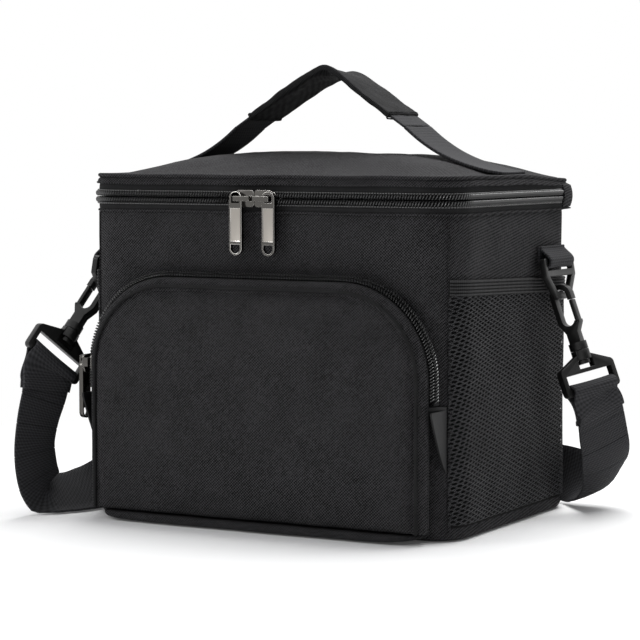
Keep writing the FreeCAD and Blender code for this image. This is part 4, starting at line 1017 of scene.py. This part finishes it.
def curved(points, count):
    """Evenly spaced places on a smooth line through the points, and the line's length.
    Each point and place is a tuple of vectors."""
    fine = []
    for i in range(len(points) - 1):
        four = [points[max(i - 1, 0)], points[i], points[i + 1],
                points[min(i + 2, len(points) - 1)]]
        for j in range(24):
            t = j / 24
            blended = []
            for a, b, c, d in zip(*four):
                square = (2 * a - 5 * b + 4 * c - d) * t * t
                cube = (3 * b - 3 * c + d - a) * t ** 3
                blended.append(0.5 * (2 * b + (c - a) * t + square + cube))
            fine.append(tuple(blended))
    fine.append(points[-1])
    lengths = [0]
    for i in range(1, len(fine)):
        lengths.append(lengths[-1] + (fine[i][0] - fine[i - 1][0]).length)
    places, at = [], 0
    for i in range(count + 1):
        goal = lengths[-1] * i / count
        while at < len(fine) - 2 and lengths[at + 1] < goal:
            at += 1
        gap = max(lengths[at + 1] - lengths[at], 1e-9)
        t = min(max((goal - lengths[at]) / gap, 0), 1)
        places.append(tuple(a.lerp(b, t) for a, b in zip(fine[at], fine[at + 1])))
    return places, lengths[-1]


FLAT = Vector((0, 0, 0))


def ribbon(name, line, length, width, thickness, first=0, last=None):
    """Webbing along a line of places, each a point, the way of its width and how far it
    bulges, or along a part of it. The length is that of the whole line."""
    last = len(line) - 1 if last is None else last
    count = last - first
    lay_down()
    bpy.ops.mesh.primitive_grid_add(x_subdivisions=8, y_subdivisions=count, size=1)
    strip = named(name)
    for point in strip.data.vertices:
        across, share = point.co.x * 2, (point.co.y + 0.5) * count
        at = int(round(share)) + first
        middle, way, bulge = line[at]
        before, after = line[max(at - 1, 0)][0], line[min(at + 1, len(line) - 1)][0]
        run = (after - before).normalized()
        way = (way - run * way.dot(run)).normalized()
        arch = 1 - across * across
        bow = run.cross(way) * (0.0004 * arch)
        point.co = middle + way * (across * width / 2) + bow + bulge * arch
        point.co.z = max(point.co.z, thickness)
    for spot in strip.data.uv_layers[0].data:
        along = (first + spot.uv[1] * count) * length / (len(line) - 1)
        spot.uv = ((spot.uv[0] - 0.5) * width, along)
    skin(strip, thickness, 0)
    bevel_edges(strip, thickness * 0.3, 2, 60)
    apply_all(strip)
    set_right(strip)
    soften(strip, 50)
    return strip


# Rings, snap hooks, gates, strap frames and adjuster: injection moulded in satin black
# nylon. The rings hang in the webbing loops, and each frame turns on its hook's post.
moulded, tree, shader = new_material("moulded_black_nylon", (0.005, 0.005, 0.005), 0.38, 0.35)
grain = texture(tree, "Noise", 500, 4)
gloss(tree, shader, grain, 0.28, 0.50)
emboss(tree, shader, grain.outputs["Fac"], 0.00004)
joints = {joint["name"]: joint for joint in frame["joints"]}
for word in ("left", "right"):
    for node, body, edge in (
            ("ring", "ring", 0.0009), ("hook", "hook", 0.0009),
            ("hook_gate", "gate", 0.0006), ("strap_frame", "frame", 0.0009)):
        part = metal_copy(word + "_" + node + "_moulded", word + "_" + node, edge, 3)
        finish(part, moulded, word + "_" + body, "black_plastic", word + "_" + node)
adjuster = metal_copy("adjuster_moulded", "strap_adjuster", 0.0008, 3)
finish(adjuster, moulded, "strap_adjuster", "black_plastic", "strap_adjuster")


# Anchor loops: a short length of the webbing, folded round each ring's top bar, its two
# ends sewn flat to the side wall under the lid's zipper
for side, word in ((1, "right"), (-1, "left")):
    low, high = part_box(word + "_anchor_loop")
    bar = Vector(joints[word + "_ring_flip"]["pos_m"])
    outer = high.x - abs(bar.x) if side > 0 else abs(low.x) - abs(bar.x)
    reach = outer - 0.0009
    wall_x = HALF_X + 0.0011
    path = [Vector((wall_x + 0.0010, 0, high.z - 0.0002)),
            Vector((wall_x + 0.0012, 0, bar.z + 0.006))]
    for turn in (180, 225, 270, 315, 360, 405):
        beside, up = math.cos(math.radians(turn)), math.sin(math.radians(turn))
        path.append(Vector((abs(bar.x) + reach * beside, 0, bar.z + reach * up)))
    path.append(Vector((wall_x + 0.0034, 0, bar.z + 0.0075)))
    path.append(Vector((wall_x + 0.0030, 0, high.z - 0.0002)))
    points = [(Vector((p.x * side, bar.y, p.z)), Vector((0, 1, 0)), FLAT) for p in path]
    places, length = curved(points, 60)
    loop = ribbon(word + "_loop", places, length, WEBBING_WIDTH, 0.0015)
    finish(loop, ribbed_webbing, "bag", "black_webbing", word + "_anchor_loop")


# Shoulder strap: one limp length of webbing. It falls from each frame, turns over on the
# ground and lies on its edge behind the bag. Each station gives its middle in mm, the way
# of its width and how far it bulges in mm.
FRAME_BAR_DROP, BAR_REACH = 0.0628, 0.0047
STRAP_WIDTH, STRAP_THICKNESS, SAMPLES = 0.0375, 0.0015, 360
UPRIGHT = (0, 0, 1)
RIGHT_FALL = [
    ((168.0, 52.5, 71.5), (0.43, 0.90, 0.10), (0, 0, 0)),
    ((167.6, 61.0, 54.4), (0.49, 0.87, 0.06), (0, 0, 0)),
    ((166.5, 68.6, 40.7), (0.50, 0.87, 0.07), (0.7, 0.3, -0.5)),
    ((162.6, 78.0, 28.8), (0.39, 0.91, 0.13), (2.6, 1.3, -1.8)),
    ((155.9, 85.1, 20.8), (0.12, 0.96, 0.25), (5.4, 2.6, -3.6)),
    ((148.2, 90.2, 18.0), (-0.11, 0.86, 0.50), (5.8, 3.0, -3.4)),
    ((140.0, 95.0, 18.0), (-0.17, 0.68, 0.72), (3.6, 2.6, -1.8)),
    ((130.4, 99.2, 18.8), (-0.14, 0.42, 0.90), (1.4, 1.2, 0)),
    ((116, 103.0, 19.8), (-0.02, 0.12, 0.99), (0, 0, 0)),
]
BEHIND = [(place, UPRIGHT, (0, 0, 0)) for place in (
    (96, 104.8, 20.0), (50, 105.4, 20.0), (0, 105.8, 20.0), (-50, 105.4, 20.0),
    (-98, 104.4, 20.0), (-134, 102.0, 20.0), (-160, 92, 19.8), (-176, 68, 19.7),
    (-183.5, 36, 19.7))]
LEFT_FALL = [
    ((-175, 4, 18.6), (-0.30, 0, 0.95), (0, 0, 0)),
    ((-156, -22, 16.8), (-0.50, 0.1, 0.85), (0, 0, 0)),
    ((-144.0, -48, 14.5), (-0.55, 0.25, 0.76), (0, 0, 0)),
    ((-146.0, -69, 11.8), (-0.45, 0.66, 0.56), (0, 0, 0)),
    ((-150.0, -84, 10.4), (-0.16, 0.89, 0.40), (-0.6, -0.4, 0)),
    ((-155.0, -95.0, 10.6), (0.07, 0.96, 0.28), (-1.2, -0.8, 0)),
    ((-158.6, -102.0, 12.2), (0.14, 0.98, 0.10), (-1.0, -0.6, 0)),
    ((-161.0, -106.6, 20.5), (0.17, 0.98, 0.00), (-0.6, -0.4, 0)),
    ((-162.0, -109.4, 32.0), (0.16, 0.98, -0.04), (0, 0, 0)),
    ((-162.0, -110.5, 46.0), (0.14, 0.99, -0.02), (0, 0, 0)),
    ((-160.6, -108.0, 63.0), (0.18, 0.97, -0.12), (0, 0, 0)),
    ((-158.6, -103.6, 79.0), (0.25, 0.90, -0.32), (0, 0, 0)),
]
frames = {}
for word in ("right", "left"):
    swivel, swing = joints[word + "_frame_swivel"], joints[word + "_hook_swing"]
    up = Vector(swivel["axis"])
    sideways = Matrix.Rotation(math.radians(-25), 3, up) @ (-Vector(swing["axis"]))
    bar = Vector(swivel["pos_m"]) - up * FRAME_BAR_DROP
    frames[word] = (bar, up, sideways, sideways.cross(up))
route = []
bar, up, sideways, outward = frames["right"]
for drop in (-0.002, 0.005):
    route.append((bar - up * drop - outward * 0.0008, sideways, FLAT))
for point, way, bulge in RIGHT_FALL + BEHIND + LEFT_FALL:
    route.append((Vector(point) / 1000, Vector(way).normalized(), Vector(bulge) / 1000))
bar, up, sideways, outward = frames["left"]
for drop in (0.005, -0.002):
    route.append((bar - up * drop - outward * 0.0008, -sideways, FLAT))
places, strap_length = curved(route, SAMPLES)


# Strap ends: the webbing wraps each frame's bar, lies back on itself for 22 mm and is sewn down
# there.
# The lengths below the fold are cut into short pieces, and only the first is carried by its frame.
FOLD_AT, PLY_GAP = (0.0072, 0.0140, 0.0215), 0.0017
CUTS_AT = (0.008, 0.026, 0.044, 0.062, 0.080)
for word, fall in (("right", places), ("left", places[::-1])):
    bar, up, sideways, outward = frames[word]
    flat_side = 1 if word == "right" else -1
    hanging, run = [], 0
    for i in range(1, 40):
        run += (fall[i][0] - fall[i - 1][0]).length
        if len(hanging) < len(FOLD_AT) and run > FOLD_AT[len(hanging)]:
            along = (fall[i + 1][0] - fall[i - 1][0]).normalized()
            width_way = fall[i][1] * flat_side
            hanging.append((fall[i][0], width_way, width_way.cross(-along).normalized()))
    path = []
    for place, way, face in hanging[::-1]:
        path.append((place + face * PLY_GAP, way, FLAT))
    for turn in (0, 45, 90, 135, 180):
        around = outward * math.cos(math.radians(turn)) + up * math.sin(math.radians(turn))
        path.append((bar + around * BAR_REACH, sideways, FLAT))
    for place, way, face in hanging:
        path.append((place - face * PLY_GAP, way, FLAT))
    lengths, length = curved(path, 60)
    end = ribbon(word + "_strap_fold", lengths, length, WEBBING_WIDTH, 0.0014)
    finish(end, ribbed_webbing, word + "_frame", "black_webbing", word + "_strap_end")

cuts = {"right": [], "left": []}
for word, order in (("right", range(SAMPLES + 1)), ("left", range(SAMPLES, -1, -1))):
    run = 0
    previous = places[order[0]][0]
    for i in order:
        run += (places[i][0] - previous).length
        previous = places[i][0]
        if len(cuts[word]) < len(CUTS_AT) and run >= CUTS_AT[len(cuts[word])]:
            cuts[word].append(i)
for word in ("right", "left"):
    carriers = [word + "_frame", word + "_frame", word + "_hook", word + "_ring", "bag"]
    for number, (near, far) in enumerate(zip(cuts[word], cuts[word][1:])):
        strip = ribbon("strap_%s_%d" % (word, number), places, strap_length,
                       STRAP_WIDTH, STRAP_THICKNESS, min(near, far), max(near, far))
        finish(strip, ribbed_webbing, None if number else carriers[0], "black_webbing")
        if number:
            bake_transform(strip)
start, end = cuts["right"][4], cuts["left"][4]
strap = ribbon(
    "shoulder_strap_run", places, strap_length, STRAP_WIDTH, STRAP_THICKNESS, start, end)
finish(strap, ribbed_webbing, "bag", "black_webbing", "shoulder_strap")


# Carry handle: webbing sewn into the lid's end seams, folded where it starts to rise,
# with a padded cloth sleeve creased at the middle of the grip
FOOT_LINE = [(130, 223.4), (117.8, 225.3), (102, 229.6), (87, 235.6), (73.5, 243.6), (62, 252.6)]
SPAN_LINE = [(-62, 252.6), (-48, 261.4), (-30, 272.6), (-12, 283.2), (-2, 287.6), (5, 289.6),
             (12, 286.8), (20, 281.6), (32, 273.0), (47, 262.8), (62, 252.6)]
for side, word in ((1, "right"), (-1, "left")):
    points = [(Vector((x * side, 0, z)) / 1000, Vector((0, 1, 0)), FLAT) for x, z in FOOT_LINE]
    hold, length = curved(points, 60)
    end = ribbon("handle_end_" + word, hold, length, WEBBING_WIDTH, 0.0020)
    finish(end, ribbed_webbing, None, "black_webbing", "handle_" + word + "_end")
    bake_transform(end)
points = []
for x, z in SPAN_LINE:
    crease = Vector((0, 0, -0.0032 * math.exp(-((x - 5) / 9) ** 2)))
    tipped = Vector((0, 1, -0.09 * math.exp(-((x - 5) / 14) ** 2))).normalized()
    points.append((Vector((x, 0, z)) / 1000, tipped, crease))
hold, length = curved(points, 100)
span = ribbon("handle_span", hold, length, WEBBING_WIDTH, 0.0016)
finish(span, ribbed_webbing, "handle", "black_webbing", "handle_webbing")

inside = [place for place in hold if abs(place[0].x) < 0.0525]
sleeve = ribbon("handle_sleeve_cloth", inside, 0.12, 0.0405, 0.0044)
for point in sleeve.data.vertices:
    hem = 0.0005 if abs(point.co.x) > 0.0485 else 0
    point.co.y += math.copysign(0.0004 * math.sin(point.co.x * 160) + hem, point.co.y)
round_off(sleeve)
apply_all(sleeve)
wrinkle(sleeve, 0.018, 0.0022)
soften(sleeve, 50)
sleeve_cloth = cloth_material(
    "sleeve_cloth", (0.003, 0.003, 0.003), (0.028, 0.028, 0.029), 600, 0.35, 0.5, 0.0003)
finish(sleeve, sleeve_cloth, "handle", "black_fabric", "handle_sleeve")
hems = []
for side in (1, -1):
    middle = min(hold, key=lambda place: abs(place[0].x - 0.0515 * side))[0]
    lay_down()
    bpy.ops.mesh.primitive_torus_add(
        major_segments=24, minor_segments=6, major_radius=1, minor_radius=0.05,
        location=(0, 0, 0), rotation=(0, math.pi / 2, 0))
    hem = named("hem_%d" % side)
    for point in hem.data.vertices:
        y, z = point.co.y, point.co.z
        angle = math.atan2(z, y)
        spread = math.hypot(y, z) - 1
        squared = [math.copysign(min(1, abs(part) * 1.3), part)
                   for part in (math.cos(angle), math.sin(angle))]
        box_y = squared[0] * (0.0208 + spread * 0.010)
        box_z = squared[1] * (0.0025 + spread * 0.010)
        slope = -math.copysign(0.66, middle.x)
        along = point.co.x * 0.010
        point.co = Vector((
            middle.x + along - box_z * slope * 0.6, box_y,
            middle.z + box_z * 0.9 + along * slope))
    hems.append(hem)
sleeve_hems = joined("sleeve_hems", hems)
set_right(sleeve_hems)
soften(sleeve_hems, 60)
finish(sleeve_hems, sleeve_cloth, "handle", "black_fabric")


# Inside: white foam boards in the walls, base and lid, and a liner of heat-sealed foil
# that hangs in the box and covers the underside of the lid
foil, tree, shader = new_material("silver_foil", (0.72, 0.73, 0.75), 0.28, 0.5)
shader.inputs["Metallic"].default_value = 0.9
crease = texture(tree, "Voronoi", 70)
crease.feature = "DISTANCE_TO_EDGE"
creases = math_node(tree, "MINIMUM", crease.outputs["Distance"], 0.12)
crumples = texture(tree, "Noise", 60, 6).outputs["Fac"]
emboss(tree, shader, math_node(tree, "ADD", creases, crumples), 0.0012)

foam, tree, shader = new_material("white_foam", (0.84, 0.84, 0.82), 0.95, 0.2)
cells = texture(tree, "Voronoi", 700).outputs["Distance"]
two_tones(tree, shader, cells, (0.86, 0.86, 0.84), (0.72, 0.72, 0.70))
emboss(tree, shader, cells, 0.0003)


def drooped(point):
    """The lid's board sags at the back corners with the cloth above it."""
    corner = (abs(point.x) / 0.120) ** 8 * (max(point.y, 0) / 0.080) ** 6
    return point - Vector((0, 0, 0.0035 * min(1, corner) if point.z > 0.2175 else 0))


for word in ("front", "back", "left", "right", "base", "lid"):
    node = word + "_foam"
    if word in ("base", "lid"):
        board = metal_copy(node + "_board", node, 0.0012, 2, drooped)
    else:
        board = block(node + "_board", *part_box(node))
        bevel_edges(board, 0.0018, 3, 30)
        apply_all(board)
        soften(board, 40)
    finish(board, foam, "lid" if word == "lid" else "bag", "white_foam", node)

low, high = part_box("inner_liner")
liner = tub("foil_liner", low, high, 0.0174, (2, steps(0.02, 0.19, 16)),
            (0, steps(-0.10, 0.10, 18)), (1, steps(-0.06, 0.06, 11)))
skin(liner, 0.0008)
apply_all(liner)
soften(liner, 50)
finish(liner, foil, "bag", "foil_liner", "inner_liner")
lid_foil = upright_box("lid_foil", *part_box("lid_liner"), 0.020)
bpy.ops.mesh.select_mode(type="FACE")
pick(lambda middle, way: way.z < -0.9)
bpy.ops.mesh.inset(thickness=0.004)
bpy.ops.transform.translate(value=(0, 0, -0.0008))
lay_down()
soften(lid_foil, 50)
finish(lid_foil, foil, "lid", "foil_liner", "lid_liner")


# Studio: a pale sweep of floor that looks white beyond the bag's soft shadow, under a
# white sky, with a broad soft light above and weaker ones at the front and the side
def seen_directly(tree):
    """1 for rays from the camera, also by way of a mirror or glass, else 0."""
    path = tree.nodes.new("ShaderNodeLightPath")
    seen = math_node(tree, "ADD", path.outputs["Is Camera Ray"], path.outputs["Is Glossy Ray"])
    seen = math_node(tree, "ADD", seen, path.outputs["Is Transmission Ray"])
    return math_node(tree, "MINIMUM", seen, 1)


def mix(tree, share, first, last, end):
    """Blends two shaders by a share and hands the result to the named output node."""
    blend = tree.nodes.new("ShaderNodeMixShader")
    tree.links.new(share, blend.inputs["Fac"])
    tree.links.new(first.outputs[0], blend.inputs[1])
    tree.links.new(last.outputs[0], blend.inputs[2])
    tree.links.new(blend.outputs[0], tree.nodes[end].inputs["Surface"])


floor_paint, tree, shader = new_material("studio_floor", (0.96, 0.96, 0.96), 0.9, 0.1)
lit = tree.nodes.new("ShaderNodeEmission")
lit.inputs["Strength"].default_value = 1
coordinates = tree.nodes.new("ShaderNodeTexCoord")
reach = tree.nodes.new("ShaderNodeVectorMath")
reach.operation = "LENGTH"
wire(tree, coordinates, "Object", reach, "Vector")
fading = tree.nodes.new("ShaderNodeMapRange")
fading.inputs["From Min"].default_value = 0.17
fading.inputs["From Max"].default_value = 0.55
fading.inputs["To Min"].default_value = 0.04
fading.inputs["To Max"].default_value = 1
tree.links.new(reach.outputs["Value"], fading.inputs["Value"])
lightness = math_node(tree, "MULTIPLY", seen_directly(tree), fading.outputs["Result"])
mix(tree, lightness, shader, lit, "Material Output")
lay_down()
bpy.ops.mesh.primitive_circle_add(
    vertices=96, radius=14, fill_type="NGON", location=(0, 0, -0.0004))
floor = named("studio_floor")
floor.data.materials.append(floor_paint)

world = bpy.data.worlds.new("studio_air")
bpy.context.scene.world = world
world.use_nodes = True
tree = world.node_tree
air = tree.nodes["Background"]
air.inputs["Color"].default_value = (0.97, 0.98, 1.0, 1)
air.inputs["Strength"].default_value = 0.42
white = tree.nodes.new("ShaderNodeBackground")
white.inputs["Color"].default_value = (1, 1, 1, 1)
mix(tree, seen_directly(tree), air, white, "World Output")

flag_cloth, tree, shader = new_material("flag_cloth", (0.02, 0.02, 0.02), 0.9, 0.1)


def softbox(name, place, aim, size, power):
    lamp_data = bpy.data.lights.new(name, "AREA")
    lamp_data.shape = "RECTANGLE"
    lamp_data.size, lamp_data.size_y = size
    lamp_data.energy = power
    lamp = bpy.data.objects.new(name, lamp_data)
    bpy.context.scene.collection.objects.link(lamp)
    lamp.location = place
    lamp.rotation_euler = (Vector(aim) - Vector(place)).to_track_quat("-Z", "Y").to_euler()


softbox("overhead_softbox", (0.1, 0.55, 1.7), (0, 0, 0.15), (1.6, 1.2), 42)
softbox("front_softbox", (-1.3, -1.4, 1.1), (0, 0, 0.1), (0.8, 0.8), 11)
softbox("side_softbox", (1.9, 0.0, 0.9), (0, 0, 0.1), (0.9, 1.2), 1.2)
for name, low, high in (
        ("left_flag", (-1.62, -1.3, 0), (-1.6, -0.7, 0.5)),
        ("right_flag", (1.6, -1.5, 0), (1.62, 0.7, 1.0))):
    flag = block(name, low, high)
    flag.data.materials.append(flag_cloth)
    flag.visible_camera = False
